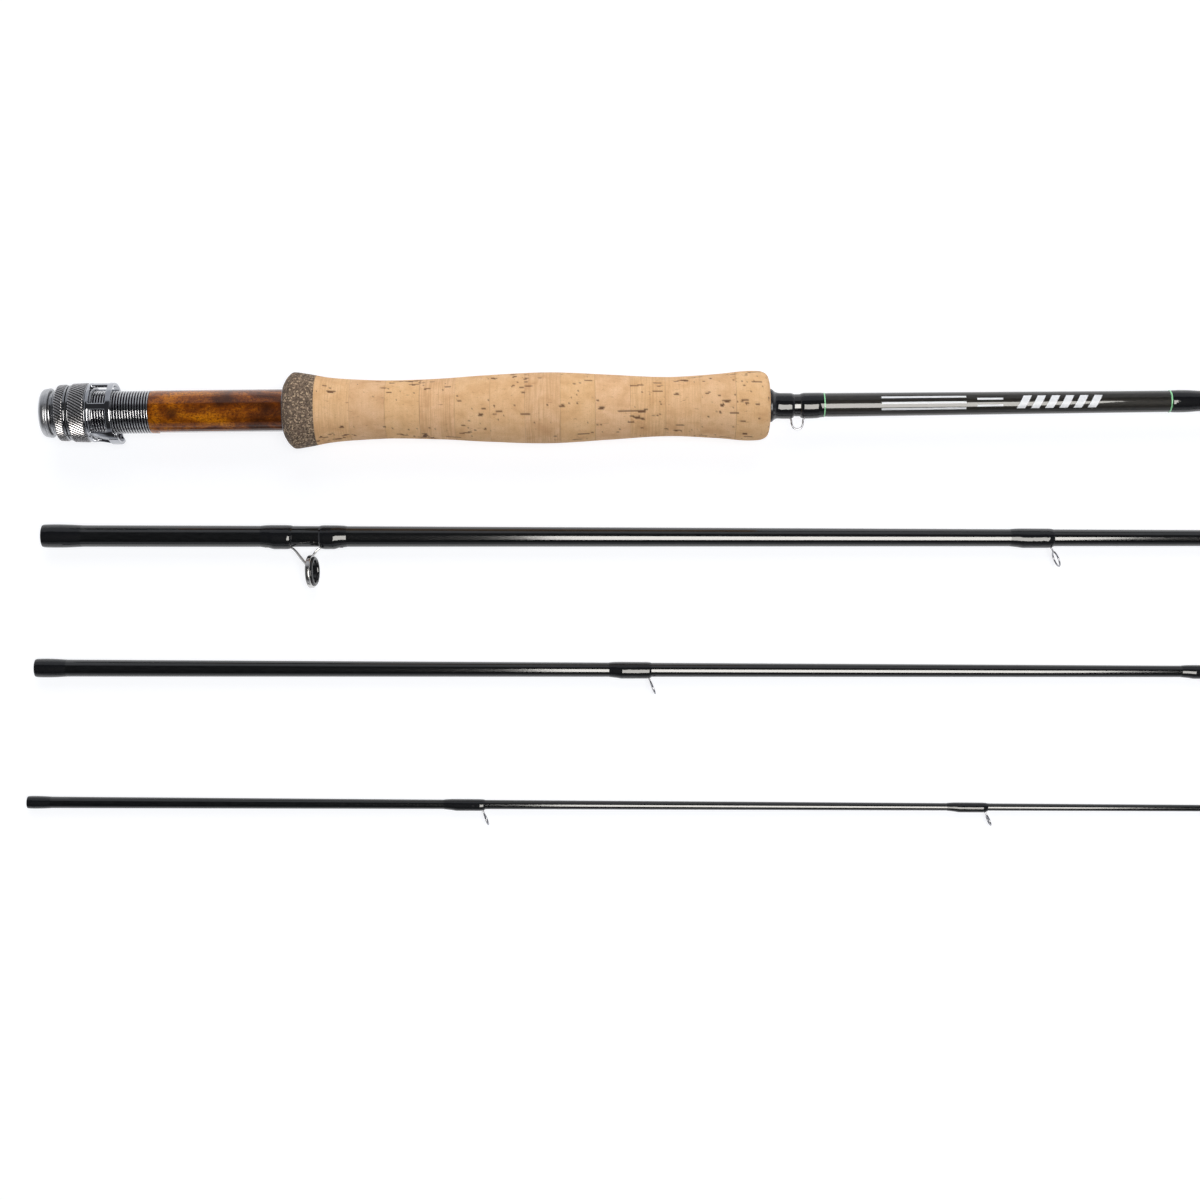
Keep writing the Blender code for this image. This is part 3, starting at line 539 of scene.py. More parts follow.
def burl_wood_look():
    """Stabilised burl under clear gloss: amber and dark brown figure, fine eyes and three knots."""
    look = Look("burl_wood", (0.16, 0.04, 0.002), 0.45, Specular_IOR_Level=0.04, Coat_Weight=1.0,
                Coat_Roughness=0.04)
    swirl = look.cloud((0.07, 0.12), 4.0, 0.55, 0.9, (2.0, 0.0, 0.0))
    run = look.node("ShaderNodeSeparateXYZ", {"Vector": look.place})
    along = look.span(run.outputs["X"], (WOOD_PALE_END * MM, WOOD_DARK_END * MM), (0.10, -0.10))
    base = look.ramp(
        look.sums("ADD", swirl, along),
        (0.34, (0.050, 0.011, 0.0010)), (0.46, (0.16, 0.036, 0.0008)),
        (0.56, (0.34, 0.092, 0.0009)), (0.70, (0.58, 0.19, 0.002)),
    )
    speck = look.cloud((1.15, 1.7), 3.0, 0.75, 0.5)
    base = look.mix(look.ramp(speck, (0.38, 0.85), (0.55, 0.0)), base, (0.060, 0.013, 0.001))
    # Pale amber flecks are painted into the colour as glints of light in the figure.
    painted_glint = look.cloud((2.3, 3.2), 2.0, 0.6, 0.0, (5.0, 3.0, 8.0))
    base = look.mix(look.ramp(painted_glint, (0.62, 0.0), (0.74, 0.4)), base, (0.55, 0.22, 0.02))
    bend = look.node("ShaderNodeTexNoise", {"Vector": look.stretched((0.5, 0.5))})
    warped = look.vectors("ADD", look.place, look.vectors("SCALE", bend.outputs["Color"], 2.2 * MM))
    for place, size, depth in WOOD_KNOTS:
        away = look.vectors("DISTANCE", warped, Vector(place) * MM)
        near = look.span(away, (0.8 * MM, size * MM), (depth, 0.0), interpolation_type="SMOOTHSTEP")
        base = look.mix(near, base, (0.030, 0.007, 0.0015))
    look.colour(base)
    look.roughness(speck, 0.26, 0.42)
    look.bump(look.cloud((0.3, 0.4), 2.0), 0.15, 0.04, "Coat Normal")
    return look.material


def plain_look(name, colour, roughness, metallic=0.0, variation=0.25, **sockets):
    """A simple finish with a little mottle in its colour, gloss and surface."""
    look = Look(name, colour, roughness, metallic, **sockets)
    mottle = look.cloud((0.8, 0.8), 4.0, 0.6)
    low = tuple(c * (1 - variation) for c in colour)
    look.colour(look.ramp(mottle, (0.3, low), (0.7, colour)))
    look.roughness(mottle, roughness * 0.8, roughness * 1.25)
    look.bump(mottle, 0.12, 0.03)
    return look.material


LOOKS = {
    "nickel": nickel_look("polished_nickel", (0.36, 0.365, 0.38), 0.10),
    "hood": nickel_look("hood_nickel", (0.46, 0.47, 0.50), 0.11),
    # The first colour of the barrel and of the knurl is painted shade for the roots of their thread and
    # ridges.
    "barrel": cut_metal_look(
        "barrel_nickel", (0.025, 0.025, 0.03), (0.46, 0.46, 0.47), (0.56, 0.565, 0.58), 0.11
    ),
    "knurl": cut_metal_look(
        "knurled_nickel", (0.012, 0.011, 0.012), (0.50, 0.49, 0.49), (0.66, 0.65, 0.66), 0.24
    ),
    "carbon": carbon_look(),
    "label": label_look(),
    "thread": thread_look(),
    "trim": thread_look("green_trim", (0.24, 0.60, 0.30), (0.40, 0.85, 0.46)),
    "burl_cork": burl_cork_look(),
    "burl_wood": burl_wood_look(),
    "satin": nickel_look("satin_nickel", (0.50, 0.505, 0.52), 0.30),
    "wire": nickel_look("bright_wire", (0.40, 0.40, 0.425), 0.10),
    "guide_frame": nickel_look("guide_frame", (0.66, 0.65, 0.64), 0.20),
    "ceramic": plain_look("black_ceramic", (0.012, 0.012, 0.014), 0.10, Specular_IOR_Level=0.7),
    "check": plain_look("black_metal", (0.020, 0.020, 0.024), 0.24, 0.3),
    "nylon": plain_look("black_nylon", (0.020, 0.020, 0.021), 0.5),
    "arbor": plain_look("arbor_fibre", (0.25, 0.22, 0.18), 0.8),
    "print": plain_look("pale_print", (0.80, 0.81, 0.83), 0.4, 0.0, 0.12),
    **{f"cork_{number:02d}": cork_look(number) for number in range(1, CORK_COUNT + 1)},
}


# ---- reel seat ---------------------------


def add_cap(section):
    rim = [(0.0, 7.5), (0.25, 8.25), (0.9, 8.72), (2.15, 8.92), (2.3, 8.74), (2.45, 8.95), (2.6, 9.05),
           (3.1, 9.05), (3.4, 8.75), (3.4, 7.45), (3.9, 7.45), (3.9, 6.25), (12.6, 6.25), (13.0, 5.8)]
    shape = turned(softened(rim, 0.3, 4, closed=False), ROUND, closed=False)
    section.add("butt_cap_satin", shape, "satin", "butt_cap", slot="polished_nickel")


def add_barrel(section):
    """The barrel with its thread, which fades out at both ends."""
    start = BARREL_START
    end = BARREL_END
    crests = []

    def radius(x, angle):
        turn = (x / THREAD_PITCH - angle / (2 * math.pi)) % 1.0
        off_crest = min(turn, 1.0 - turn)
        # The crest mask sets where the barrel's look paints shade into the thread's roots.
        crests.append(1.0 - smooth_step(0.15, 0.36, off_crest))
        cut = THREAD_DEPTH * smooth_step(0.13, 0.42, off_crest)
        fade = smooth_step(start, start + 0.6, x) * (1.0 - smooth_step(end - 0.75, end - 0.45, x))
        inside = smooth_step(start, start + 0.3, x) * (1.0 - smooth_step(end - 0.25, end, x))
        return BARREL_CREST - cut * fade - 0.25 * (1.0 - inside)

    shape = field(spread(start, end, 430), 72, radius, [(start, SEAT_BORE), (end, SEAT_BORE)])
    piece = section.add("threaded_barrel", shape, "barrel", "seat_barrel", slot="polished_nickel", sharp=70)
    paint(piece, "crest", crests)


def add_knurl(section, name, start, end, radii, bore, body):
    """A band of slanting ridges. Its grid is turned along with them, so that each crest stays crisp."""
    shape = bmesh.new()
    heights = KNURL_PROFILE * KNURL_RIDGES
    xs = spread(start, end, max(8, int((end - start) / 0.25)))
    rings = []
    for x in xs:
        size = radii[0] + (radii[1] - radii[0]) * (x - start) / (end - start)
        top = size - 0.22 * (1.0 - smooth_step(0.0, 0.3, min(x - start, end - x)))
        ridges = [top - KNURL_DEPTH * (1.0 - height) for height in heights]
        rings.append(around(shape, x, ridges, twist=KNURL_SLOPE * (x - start) / size))
    for x in (end, start):
        rings.append(around(shape, x, [bore] * len(heights), twist=KNURL_SLOPE * (x - start) / size))
    shape = bridge(shape, rings)
    piece = section.add(name, shape, "knurl", body=body, slot="knurled_nickel", sharp=75)
    # The crest mask sets where the knurl's look paints shade into the roots between ridges.
    paint(piece, "crest", heights * len(xs))


def add_nuts(section):
    start = 3.98
    core = [(start, 7.98), (4.7, 8.02), (4.95, 8.45), (5.6, 8.45), (5.6, 8.9), (6.05, 9.75), (9.15, 9.75),
            (9.15, 10.05), (9.88, 10.05), (9.88, NUT_BORE), (start, NUT_BORE)]
    shape = turned(softened(core, 0.22))
    section.add("lock_nut_core", shape, "nickel", "lock_nut", "lock_nut", "knurled_nickel")
    add_knurl(section, "lock_nut_knurl", 6.05, 9.12, (10.22, 10.35), 9.6, "lock_nut")
    shape = turned(softened([(9.95, 9.35), (10.3, 9.35), (10.3, NUT_BORE), (9.95, NUT_BORE)], 0.1))
    section.add("lock_washer_ring", shape, "nylon", "lock_washer", "washer", "black_nylon")
    start = 10.36
    core = [(start, 10.2), (11.12, 10.2), (11.12, 10.1), (16.78, 10.1), (16.78, 10.5), (17.3, 10.5),
            (17.3, 8.9), (18.46, 8.9), (18.46, 9.55), (19.3, 9.55), (19.3, NUT_BORE), (start, NUT_BORE)]
    shape = turned(softened(core, 0.2))
    section.add("hood_nut_core", shape, "nickel", "hood_nut", "hood_nut", "knurled_nickel")
    add_knurl(section, "hood_nut_knurl", 11.14, 16.76, (10.65, 10.85), 10.0, "hood_nut")


def add_hood(section):
    """The sliding hood: a skin of quads with six windows left out, thickened and subdivided."""
    xs = [HOOD_REAR, 17.6, 18.0, 18.62, 19.2, 20.2, 21.6, 23.0, 24.05, 24.66, 25.15, 25.9, 26.45, HOOD_FRONT]
    window_rows = range(3, 9)
    window_end = 47.0
    rib = math.radians(13)
    sector = math.radians(60)
    first = math.radians(83) + rib / 2
    marks = [0.0, 3.5, 10.0, 23.5, 37.0, 43.5, window_end, 50.4, 56.6]
    angles = []
    in_window = []
    for number in range(6):
        for mark, following in zip(marks, marks[1:] + [60.0]):
            angles.append(first + number * sector + math.radians(mark))
            in_window.append(following <= window_end)
    shape = bmesh.new()
    rings = []
    for x in xs:
        ring = []
        for angle in angles:
            pocket = smooth_step(0.70, 0.88, -math.cos(angle))
            swell = 0.9 * pocket * smooth_step(19.0, 26.0, x)
            reach = 1.8 * pocket * smooth_step(25.0, HOOD_FRONT, x)
            edge = 0.22 * (1.0 - smooth_step(HOOD_REAR, 17.8, x)) + 0.12 * smooth_step(26.2, HOOD_FRONT, x)
            size = HOOD_SIZE - edge + swell
            ring.append(shape.verts.new((x + reach, size * math.cos(angle), size * math.sin(angle))))
        rings.append(ring)
    for row, (near, far) in enumerate(zip(rings, rings[1:])):
        for i in range(len(angles)):
            if row in window_rows and in_window[i]:
                continue
            j = (i + 1) % len(angles)
            shape.faces.new((near[i], near[j], far[j], far[i]))
    piece = section.add("sliding_hood_shell", shape, "hood", "sliding_hood", "hood", "polished_nickel", 80)
    thick = piece.modifiers.new("wall", "SOLIDIFY")
    thick.thickness = 1.12 * MM
    thick.offset = -1.0
    thick.edge_crease_outer = 0.0
    thick.edge_crease_inner = 0.1
    smooth = piece.modifiers.new("smooth", "SUBSURF")
    smooth.levels = 3
    smooth.render_levels = 3
    lip = turned(softened([(17.4, 10.2), (18.35, 10.2), (18.35, 9.05), (17.4, 9.05)], 0.12))
    section.add("sliding_hood_lip", lip, "hood", body="hood", slot="polished_nickel")


def add_insert(section):
    """The burl insert, with the shallow flat that the reel's foot lies on, and the hidden fixed hood."""
    no_flat = 99.0
    floors = [(41.9, no_flat), (42.05, 7.45), (87.6, 7.45), (87.65, 7.35), (INSERT_END, 7.35)]
    plain_xs = (41.9, 42.05, 50, 60, 70, 80, 87.6, 87.65, INSERT_END)
    outline = [(INSERT_START, 7.72), (39.62, 7.8), (39.8, INSERT_SIZE)] + [(x, INSERT_SIZE) for x in plain_xs]
    sides = 120
    shape = bmesh.new()
    rings = []
    for x, size in outline:
        floor = interpolate(floors, x) if x > 41.9 else no_flat
        ring = around(shape, x, [size] * sides)
        for vertex in ring:
            vertex.co.y = max(vertex.co.y, -floor)
        rings.append(ring)
    for x in (INSERT_END, INSERT_START):
        rings.append(around(shape, x, [SEAT_BORE] * sides))
    shape = bridge(shape, rings)
    section.add("burl_insert", shape, "burl_wood", "wood_insert", slot="burl_wood", sharp=30)
    rim = [(88.2, 9.6), (98.75, 9.6), (98.75, SEAT_BORE), (98.05, SEAT_BORE), (98.05, 9.0), (88.2, 9.0)]
    shape = turned(softened(rim, 0.15))
    section.add("fixed_hood_ring", shape, "nickel", "fixed_hood", slot="polished_nickel")


# ---- grip --------------------------------


def grip_radius(x):
    return smooth_between(GRIP_OUTLINE, x - GRIP_START)


def pit_at(x, y, z):
    """How deep a pit is at a point of the cork, from 0 to 1: a few long lenticels and small holes."""
    crowd = noise.noise(Vector((x * 0.06, y * 0.12, z * 0.12 + 9.0)))
    long = noise.noise(Vector((x * 0.24 + 31.0, y * 0.95, z * 0.95)))
    small = noise.noise(Vector((x * 0.8, y * 1.3 + 17.0, z * 1.3)))
    streak = smooth_step(0.53, 0.60, long + crowd * 0.42)
    hole = smooth_step(0.63, 0.72, small + crowd * 0.35)
    return max(streak, hole)


def add_cork_ring(section, number):
    """One ring of the grip. The seams are shallow and slightly eased, as sanded cork's are."""
    start = GRIP_START + BURL_LENGTH + (number - 1) * CORK_LENGTH + SEAM_GAP
    end = start + CORK_LENGTH - 2 * SEAM_GAP
    last = number == CORK_COUNT
    show = SEAM_SHOW[number % len(SEAM_SHOW)]
    pits = []
    seams = []

    def radius(x, angle):
        size = grip_radius(x)
        edge = x - start if last else min(x - start, end - x)
        seam = math.exp(-((edge / 0.11) ** 2))
        y = size * math.cos(angle)
        z = size * math.sin(angle)
        pit = pit_at(x, y, z)
        wander = 0.04 * (noise.noise(Vector((x * 0.2, y * 0.2, z * 0.2))) - 1.0)
        pits.append(pit * 0.95)
        seams.append(seam * 0.5 * show)
        return size + wander - 0.05 * seam * show - 0.22 * pit

    xs = [start, start + 0.07] + spread(start + 0.2, end - 0.2, 44 if last else 38) + [end - 0.07, end]
    shape = field(xs, CORK_SIDES, radius, [(x, section.radius(x) + 0.2) for x in (start, end)])
    node = f"cork_ring_{number:02d}"
    piece = section.add(f"cork_{number:02d}", shape, f"cork_{number:02d}", node, slot="cork", sharp=50)
    paint(piece, "pit", pits)
    paint(piece, "seam", seams)


def add_burl_ring(section):
    start = GRIP_START
    end = GRIP_START + BURL_LENGTH - 0.03
    xs = [start, start + 0.12] + spread(start + 0.35, end - 0.15, 60) + [end - 0.05, end]

    def radius(x, angle):
        size = grip_radius(x)
        place = Vector((x, size * math.cos(angle), size * math.sin(angle)))
        rough = noise.noise(place * 1.3) + 0.5 * noise.noise(place * 2.9)
        return size - 0.035 - 0.03 * rough

    bore = [(start, 9.66), (start + 10.3, 9.66), (start + 10.3, 4.7), (end, 4.65)]
    shape = field(xs, 180, radius, bore)
    section.add("burl_cork_ring", shape, "burl_cork", "burl_ring", slot="burl_cork", sharp=50)


# ---- wraps, keeper and label -------------


def wrap_stations(section, profile):
    """Stations from (x, height on the far side, height on the guide side) above the blank."""
    return [(x, section.radius(x) + (far + near) / 2, (far - near) / 2) for x, far, near in profile]


def eased(profile):
    """More stations on a smooth curve through a wrap's profile."""
    fars = [(x, far) for x, far, near in profile]
    nears = [(x, near) for x, far, near in profile]
    result = []
    for (x0, *_), (x1, *_) in zip(profile, profile[1:]):
        for x in spread(x0, x1, 5)[:-1]:
            result.append((x, smooth_between(fars, x), smooth_between(nears, x)))
    return result + [profile[-1]]


def add_wrap(section, name, profile, node):
    stations = wrap_stations(section, eased(profile))
    stations += [(x, section.radius(x) + 0.02) for x in (profile[-1][0], profile[0][0])]
    section.add(name, turned(stations, SLIM), "thread", node, slot="black_thread", sharp=60)


def plain_profile(start, end, height):
    """A short wrap whose finish swells in the middle and runs out on to the blank."""
    swell = [(0.0, 0.25), (0.04, 0.66), (0.13, 0.88), (0.30, 1.0), (0.46, 0.98), (0.66, 0.80), (0.84, 0.46),
             (1.0, 0.12)]
    return [(start + (end - start) * along, height * part, height * part) for along, part in swell]


def foot_profile(start, end, low, high, flip=False):
    """A wrap over a guide foot: it climbs the foot's ground end, and runs out past its stem."""
    profile = [
        (start, 0.05, 0.05), (start + 1.2, low * 0.6, low * 0.65), (start + 2.8, low * 0.9, low + 0.08),
        (start + 5.0, low, high), (end - 2.2, low, high), (end - 0.8, low * 0.75, high * 0.8),
        (end, 0.05, 0.20),
    ]
    if flip:
        profile = [(start + end - x, far, near) for x, far, near in profile[::-1]]
    return profile


def add_keeper(section):
    start = GRIP_END + 0.1
    rim = [(start, 5.75), (start + 0.15, 6.05), (start + 0.45, 6.1), (start + 0.95, 6.1), (start + 1.3, 5.8),
           (start + 1.3, 4.4), (start, 4.4)]
    shape = turned(softened(rim, 0.15))
    section.add("winding_check_ring", shape, "check", "winding_check", slot="black_metal")
    rear = start + 1.32
    profile = [
        (rear, 1.72, 1.72), (rear + 0.4, 1.38, 1.38), (rear + 1.0, 0.92, 0.94), (rear + 1.9, 0.62, 0.72),
        (rear + 3.2, 0.48, 0.80), (272.4, 0.46, 0.86), (273.7, 0.42, 0.84), (274.4, 0.20, 0.55),
        (274.8, 0.05, 0.12),
    ]
    add_wrap(section, "keeper_wrap_rear_finish", profile, "keeper_wrap_rear")
    profile = [
        (277.0, 0.05, 0.12), (277.5, 0.24, 0.58), (278.3, 0.44, 0.84), (280.0, 0.48, 0.86),
        (283.2, 0.48, 0.78), (284.6, 0.46, 0.50), (285.7, 0.40, 0.40),
    ]
    add_wrap(section, "keeper_wrap_front_finish", profile, "keeper_wrap_front")
    middle = 276.0
    half = 2.1
    bottom = 8.8 - half
    surface = -(section.radius(middle) + 0.30)
    key = [(268.9, surface), (270.0, surface), (272.6, surface - 0.02), (273.35, surface - 0.30),
           (middle - half - 0.12, surface - 0.95), (middle - half, surface - 2.0)]
    left = [Vector((x, y, 0.0)) for x, y in key]
    turns = [math.radians(180 + 180 * step / 4) for step in range(5)]
    arc = [Vector((middle + half * math.cos(a), -bottom + half * math.sin(a), 0.0)) for a in turns]
    right = [Vector((2 * middle - p.x, p.y, 0.0)) for p in left[::-1]]
    path = curve_through(left + arc + right, 6)
    sizes = []
    for point in path:
        away = abs(point.x - middle)
        flat = smooth_step(3.2, 4.6, away)
        tip = smooth_step(6.1, 7.1, away)
        sizes.append((0.33 + 0.10 * flat - 0.25 * tip, 0.33 - 0.13 * flat - 0.1 * tip))
    shape = swept(path, sizes, Vector((0.0, 0.0, 1.0)))
    section.add("keeper_wire", shape, "wire", "hook_keeper", slot="bright_wire", sharp=70)


def add_label(section):
    """The tinted clear coat over the butt's label zone, edged by two fine bands of green thread."""
    start = LABEL_START
    end = LABEL_END
    heights = [(start, 0.26), (start + 0.8, 0.32), (start + 40.0, 0.27), (end - 30.0, 0.16), (end, 0.14)]
    outer = [(x, section.radius(x) + interpolate(heights, x)) for x in spread(start, end, 60)]
    inner = [(end, section.radius(end) + 0.02), (start, section.radius(start) + 0.02)]
    section.add("label_coat", turned(outer + inner, 64), "label", slot="carbon_blank", sharp=60)
    for name, x, lift in (("green_band_rear", start, 0.44), ("green_band_front", end, 0.30)):
        profile = [(x - 0.32, 0.1, 0.1), (x - 0.22, lift, lift), (x + 0.22, lift, lift), (x + 0.32, 0.1, 0.1)]
        stations = wrap_stations(section, profile)
        section.add(name, turned(softened(stations, 0.12), SLIM), "trim", slot="black_thread")


def add_mark(section, name, start, end, low, high, slant=0.0):
    """A pale printed bar on the label coat, between two angles. slant moves its high side along X."""
    shape = bmesh.new()
    columns = 10
    rows = 6
    layers = []
    for lift in (0.0, 0.05):
        grid = []
        for v in spread(0.0, 1.0, rows):
            angle = math.radians(low * (1 - v) + high * v)
            line = []
            for u in spread(0.0, 1.0, columns):
                rear = start * (1 - u) + end * u
                front = (start + slant) * (1 - u) + (end + slant) * u
                x = rear * (1 - v) + front * v
                r = section.radius(x) + interpolate(PRINT_HEIGHTS, x) + lift
                line.append(shape.verts.new((x, r * math.sin(angle), r * math.cos(angle))))
            grid.append(line)
        for below, above in zip(grid, grid[1:]):
            for i in range(columns):
                shape.faces.new((below[i], below[i + 1], above[i + 1], above[i]))
        right = [line[-1] for line in grid[1:]]
        left = [line[0] for line in grid[-2:0:-1]]
        layers.append(grid[0] + right + grid[-1][-2::-1] + left)
    bottom, top = layers
    for i in range(len(bottom)):
        j = (i + 1) % len(bottom)
        shape.faces.new((bottom[i], bottom[j], top[j], top[i]))
    section.add(name, shape, "print", sharp=30)


def add_marks(section):
    """Plain stripes and slanted bars where such a rod is printed: a pattern with no letters."""
    for number, angle in enumerate((30, 0, -30), 1):
        add_mark(section, f"label_stripe_{number}", 306.5, 337.5, angle - 5, angle + 5)
    for number, angle in enumerate((17, -17), 1):
        add_mark(section, f"label_dash_{number}", 341.5, 351.0, angle - 5, angle + 5)
    for number in range(6):
        start = 356.0 + number * 5.2
        add_mark(section, f"label_bar_{number + 1}", start, start + 3.0, -34, 34, slant=2.6)


# ---- blanks and guides -------------------


def socket_bore(male_radius):
    mouth = male_radius(SECTION_LENGTH - FERRULE_DEPTH) + FERRULE_PLAY
    root = male_radius(SECTION_LENGTH) + FERRULE_PLAY
    return [(0.0, mouth), (FERRULE_DEPTH, root), (FERRULE_DEPTH + 5.0, root - 0.2)]


def add_blank(section, name, node, start, bore, closed=True):
    end = SECTION_LENGTH
    rear = section.radius(start)
    front = section.radius(end)
    outer = [(start, rear - 0.06), (start + 0.08, rear)]
    outer += [(x, section.radius(x)) for x in spread(start, end, 90)[1:-1]]
    outer += [(end - 0.08, front), (end, front - 0.06)]
    if closed:
        shape = turned(outer + bore[::-1], SLIM)
    else:
        shape = turned(bore[::-1] + outer, SLIM, closed=False)
    section.add(name, shape, "carbon", node, slot="carbon_blank", sharp=50)


def add_single_foot_guide(section, prefix, number, x, ring_radius, stem):
    """A wire guide: a flattened foot on the blank, a stem, and a closed ring that leans to the tip."""
    blank = section.radius(x)
    foot_y = -(blank + 0.24)
    outwards = Vector((math.sin(GUIDE_LEAN), -math.cos(GUIDE_LEAN), 0.0))
    sideways = Vector((0.0, 0.0, 1.0))
    base = Vector((x, foot_y - 0.1, 0.0))
    middle = ring_radius - GUIDE_WIRE - 0.03
    centre = base + outwards * (stem + middle)
    turns = [2 * math.pi * step / 48 for step in range(48)]
    ring = [centre + (sideways * math.sin(t) - outwards * math.cos(t)) * middle for t in turns]
    shape = swept(ring, [(GUIDE_WIRE, GUIDE_WIRE)], outwards.cross(sideways), closed=True)
    key = [Vector((x - back, foot_y, 0.0)) for back in (9.6, 8.8, 7.0, 3.0, 1.3)]
    key += [Vector((x - 0.4, foot_y - 0.08, 0.0)), base + outwards * stem * 0.45]
    key += [base + outwards * (stem + 0.1)]
    width = min(0.6, 0.32 * blank)
    sizes = [(0.06, width * 0.3), (0.10, width * 0.8), (0.12, width), (0.12, width), (0.16, width * 0.8),
             (0.24, 0.36), (0.31, 0.34), (0.31, 0.33)]
    swept(curve_through(key, 5), sizes, TO_GUIDES, shape=shape)
    node = f"{prefix}_guide_{number}"
    section.add(f"{prefix}_ring_{number}", shape, "wire", node, slot="bright_wire", sharp=70)
    length = 12.0 + ring_radius
    profile = foot_profile(x - length, x + 0.9, 0.28, 0.66)
    add_wrap(section, f"{prefix}_wrap_{number}", profile, f"{prefix}_guide_wrap_{number}")


def add_single_foot_guides(section, prefix, guides, first):
    for number, guide in enumerate(guides, first):
        add_single_foot_guide(section, prefix, number, *guide)


def add_stripping_guide(section):
    """The double-foot guide nearest the grip: a bright frame on three legs, and a black ceramic ring."""
    stand = Matrix.Translation((STRIPPER_X, -STRIPPER_REACH, 0.0)) @ Matrix.Rotation(-STRIPPER_TWIST, 4, "Y")
    rim = [(-1.05, 5.75), (-0.85, 6.15), (0.55, 6.15), (0.75, 5.75), (0.75, 5.12), (-1.05, 5.12)]
    shape = turned(softened(rim, 0.3), ROUND)
    bmesh.ops.transform(shape, matrix=stand, verts=shape.verts)
    foot_y = -(section.radius(STRIPPER_X) + 0.32)
    for side in (-1.0, 1.0):
        foot = ((82.5, 0.25), (84.0, 0.3), (87.0, 0.33), (90.8, 0.36))
        key = [Vector((x, foot_y, side * z)) for x, z in foot]
        key += [Vector((93.2, foot_y - 0.75, side * 0.85)), Vector((96.4, -8.7, side * 3.3)),
                Vector((99.3, -12.1, side * 5.6))]
        sizes = [(0.08, 0.28)] + [(thick, 0.5) for thick in (0.13, 0.15, 0.24, 0.42, 0.48, 0.46)]
        swept(curve_through(key, 8), sizes, TO_GUIDES, 16, shape=shape)
    key = [Vector((x, foot_y, 0.0)) for x in (111.5, 110.2, 107.0, 104.2)]
    key += [Vector((102.5, foot_y - 0.45, 0.0)), Vector((101.2, -5.9, 0.0)), Vector((100.2, -7.35, 0.0))]
    sizes = [(0.08, 0.35), (0.13, 0.6), (0.14, 0.62), (0.2, 0.6), (0.36, 0.55), (0.45, 0.6), (0.45, 0.8)]
    swept(curve_through(key, 8), sizes, TO_GUIDES, 16, shape=shape)
    node = "stripping_guide_frame"
    section.add("stripping_frame", shape, "guide_frame", node, slot="bright_wire", sharp=70)
    ring = [(-1.3, 4.4), (-1.3, 5.08), (0.8, 5.08), (0.82, 5.5), (1.25, 5.5), (1.6, 5.0), (1.6, 4.45),
            (1.0, 4.1), (-0.8, 4.1)]
    shape = turned(softened(ring, 0.45, 5), ROUND)
    bmesh.ops.transform(shape, matrix=stand, verts=shape.verts)
    node = "stripping_guide_ring"
    section.add("stripping_ceramic", shape, "ceramic", node, slot="black_ceramic", sharp=70)
    rear = foot_profile(81.0, 92.6, 0.32, 0.88)
    add_wrap(section, "stripping_wrap_rear_finish", rear, "stripping_wrap_rear")
    front = foot_profile(102.6, 112.8, 0.32, 0.88, flip=True)
    add_wrap(section, "stripping_wrap_front_finish", front, "stripping_wrap_front")


def add_tip_top(section):
    end = SECTION_LENGTH
    bore = section.radius(end) + 0.06
    tube = [(end + 0.1, bore), (end - 7.5, bore + 0.02), (end - 7.5, 1.02), (end - 7.3, 1.15),
            (end + 0.6, 1.15), (end + 1.0, 1.0), (end + 1.15, 0.7)]
    shape = turned(tube, SLIM, closed=False)
    outwards = Vector((0.35, -0.94, 0.0)).normalized()
    centre = Vector((end + 2.6, -2.3, 0.0))
    legs = [Vector((end - 4.0, -0.1, 1.0)), Vector((end - 1.5, -0.25, 1.25))]
    turns = [math.radians(130 - 260 * step / 12) for step in range(13)]
    loop = [centre + (outwards * math.cos(a) + Vector((0.0, 0.0, 1.0)) * math.sin(a)) * 1.75 for a in turns]
    back = [Vector((p.x, p.y, -p.z)) for p in legs[::-1]]
    path = curve_through(legs + loop + back, 5)
    swept(path, [(0.3, 0.3)], TO_GUIDES, shape=shape)
    section.add("tip_top_loop", shape, "wire", "tip_top", slot="bright_wire", sharp=60)
    add_wrap(section, "tip_top_finish", plain_profile(end - 14.0, end - 7.2, 0.25), "tip_top_wrap")


# ---- the four sections -------------------


def build_butt():
    section = Section("butt_section", BUTT_TAPER)
    start = 14.0
    bore = [(start, section.radius(start) - 1.0), (SECTION_LENGTH, section.radius(SECTION_LENGTH) - 0.7)]
    add_blank(section, "butt_carbon", "butt_blank", start, bore)
    for add_part in (add_cap, add_barrel, add_nuts, add_hood, add_insert, add_burl_ring):
        add_part(section)
    for number in range(1, CORK_COUNT + 1):
        add_cork_ring(section, number)
    add_keeper(section)
    add_label(section)
    add_marks(section)
    add_wrap(section, "label_end_finish", plain_profile(413.3, 423.3, 0.33), "label_end_wrap")
    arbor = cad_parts["seat_arbor"]
    arbor.data.materials.clear()
    arbor.data.materials.append(LOOKS["arbor"])
    return section


def build_middle(name, taper, male_radius, wall, wrap_end, guides, first_guide):
    section = Section(name, taper)
    bore = socket_bore(male_radius) + [(SECTION_LENGTH, section.radius(SECTION_LENGTH) - wall)]
    add_blank(section, f"{name}_carbon", f"{name}_blank", 0.0, bore)
    add_wrap(section, f"{name}_ferrule_finish", plain_profile(0.0, wrap_end, 0.32), f"{name}_ferrule_wrap")
    add_single_foot_guides(section, name, guides, first_guide)
    return section


def build_tip(male_radius):
    section = Section("tip_section", TIP_TAPER)
    bore = socket_bore(male_radius) + [(400.0, 0.55)]
    add_blank(section, "tip_carbon", "tip_blank", 0.0, bore, closed=False)
    add_wrap(section, "tip_ferrule_finish", plain_profile(0.0, 8.6, 0.2), "tip_ferrule_wrap")
    add_single_foot_guides(section, "tip", TIP_GUIDES, 1)
    add_tip_top(section)


# ---- stage -------------------------------


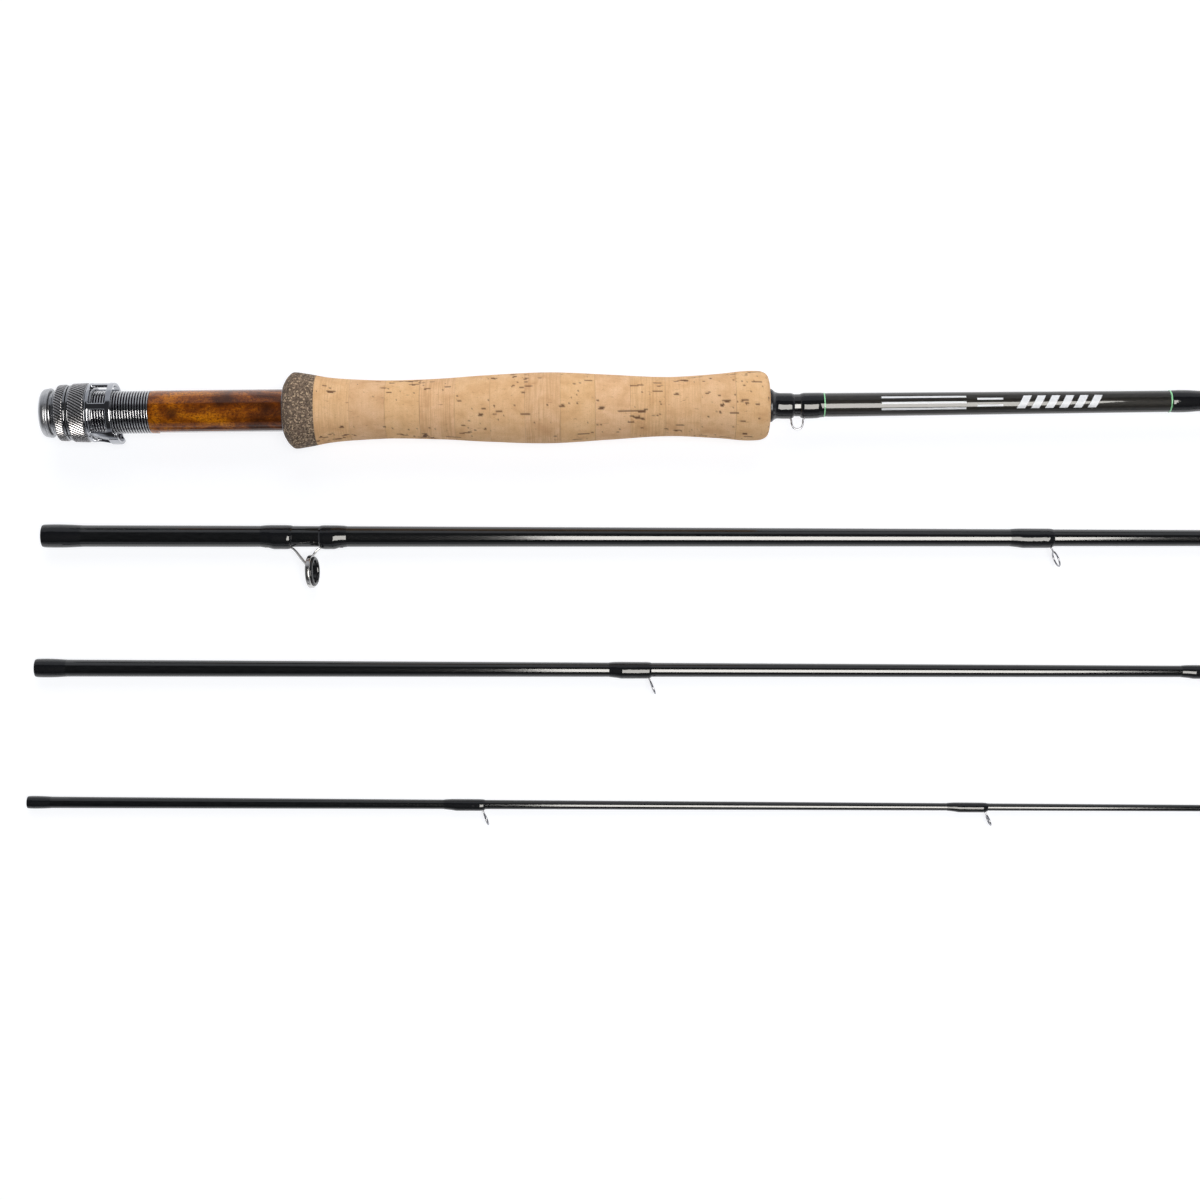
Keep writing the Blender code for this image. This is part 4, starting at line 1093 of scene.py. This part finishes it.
def add_floor():
    shape = bmesh.new()
    bmesh.ops.create_grid(shape, x_segments=2, y_segments=2, size=8.0)
    mesh = bpy.data.meshes.new("floor")
    shape.to_mesh(mesh)
    shape.free()
    look = Look("pale_floor", (0.30, 0.30, 0.30), 0.8, Specular_IOR_Level=0.0,
                Emission_Color=(*FLOOR_GLOW, 1.0), Emission_Strength=0.80)
    mesh.materials.append(look.material)
    floor = linked("floor", mesh)
    floor.location.z = -0.2 * MM


def add_light(name, place, target, size, power, hidden):
    """A rectangular light that faces target. hidden names the kind of ray that doesn't see it."""
    light = bpy.data.lights.new(name, "AREA")
    light.shape = "RECTANGLE"
    light.size, light.size_y = size
    light.energy = power
    item = linked(name, light)
    item.location = place
    item.rotation_euler = (Vector(target) - Vector(place)).to_track_quat("-Z", "Y").to_euler()
    setattr(item, f"visible_{hidden}", False)
    return light


def add_world():
    """The studio's walls and ceiling, as grey levels that change with the direction."""
    world = bpy.data.worlds.new("studio")
    bpy.context.scene.world = world
    world.use_nodes = True
    sky = Nodes(world.node_tree)
    place = sky.node("ShaderNodeTexCoord", {}).outputs["Generated"]
    parts = sky.node("ShaderNodeSeparateXYZ", {"Vector": place})

    def levels(value, reach, stops):
        share = sky.span(value, (-reach, reach), (0.0, 1.0))
        return sky.ramp(share, *[((place + reach) / (2 * reach), level) for place, level in stops])

    lean = sky.sums("ARCTAN2", sky.sums("MULTIPLY", parts.outputs["Y"], -1.0), parts.outputs["Z"])
    walls = levels(sky.sums("MULTIPLY", lean, 180 / math.pi), 90.0, WALLS)
    ends = levels(parts.outputs["X"], 1.0, END_WALLS)
    colour = sky.vectors("SCALE", SKY_TINT, sky.sums("MAXIMUM", walls, ends))
    sky.feed(sky.tree.nodes["Background"].inputs["Color"], colour)


def add_stage():
    add_floor()
    add_world()
    add_light("overhead", (0.12, -0.09, 1.60), (0.12, -0.09, 0.0), (0.75, 0.60), 15.0, "glossy")
    place = (0.15, -0.475, 1.62)
    card = add_light("reflection_card", place, (0.15, -0.475, 0.0), (0.74, 1.35), 38.0, "diffuse")
    card.color = CARD_COLOUR
    add_light("fill", (0.0, 1.6, 1.6), (0.0, 0.0, 0.0), (1.2, 1.2), 18.0, "glossy")
    camera = bpy.data.cameras.new("camera")
    camera.sensor_width = 36.0
    camera.lens = CAMERA_LENS
    camera.clip_start = 0.01
    item = linked("camera", camera)
    item.location = CAMERA_PLACE
    bpy.context.scene.camera = item
    settings = bpy.context.scene.view_settings
    settings.view_transform = "Standard"
    settings.look = "None"


butt = build_butt()
second = build_middle("section_2", SECTION_2_TAPER, butt.radius, 0.65, 14.4, SECTION_2_GUIDES, 2)
add_stripping_guide(second)
third = build_middle("section_3", SECTION_3_TAPER, second.radius, 0.55, 11.4, SECTION_3_GUIDES, 1)
build_tip(third.radius)
add_stage()
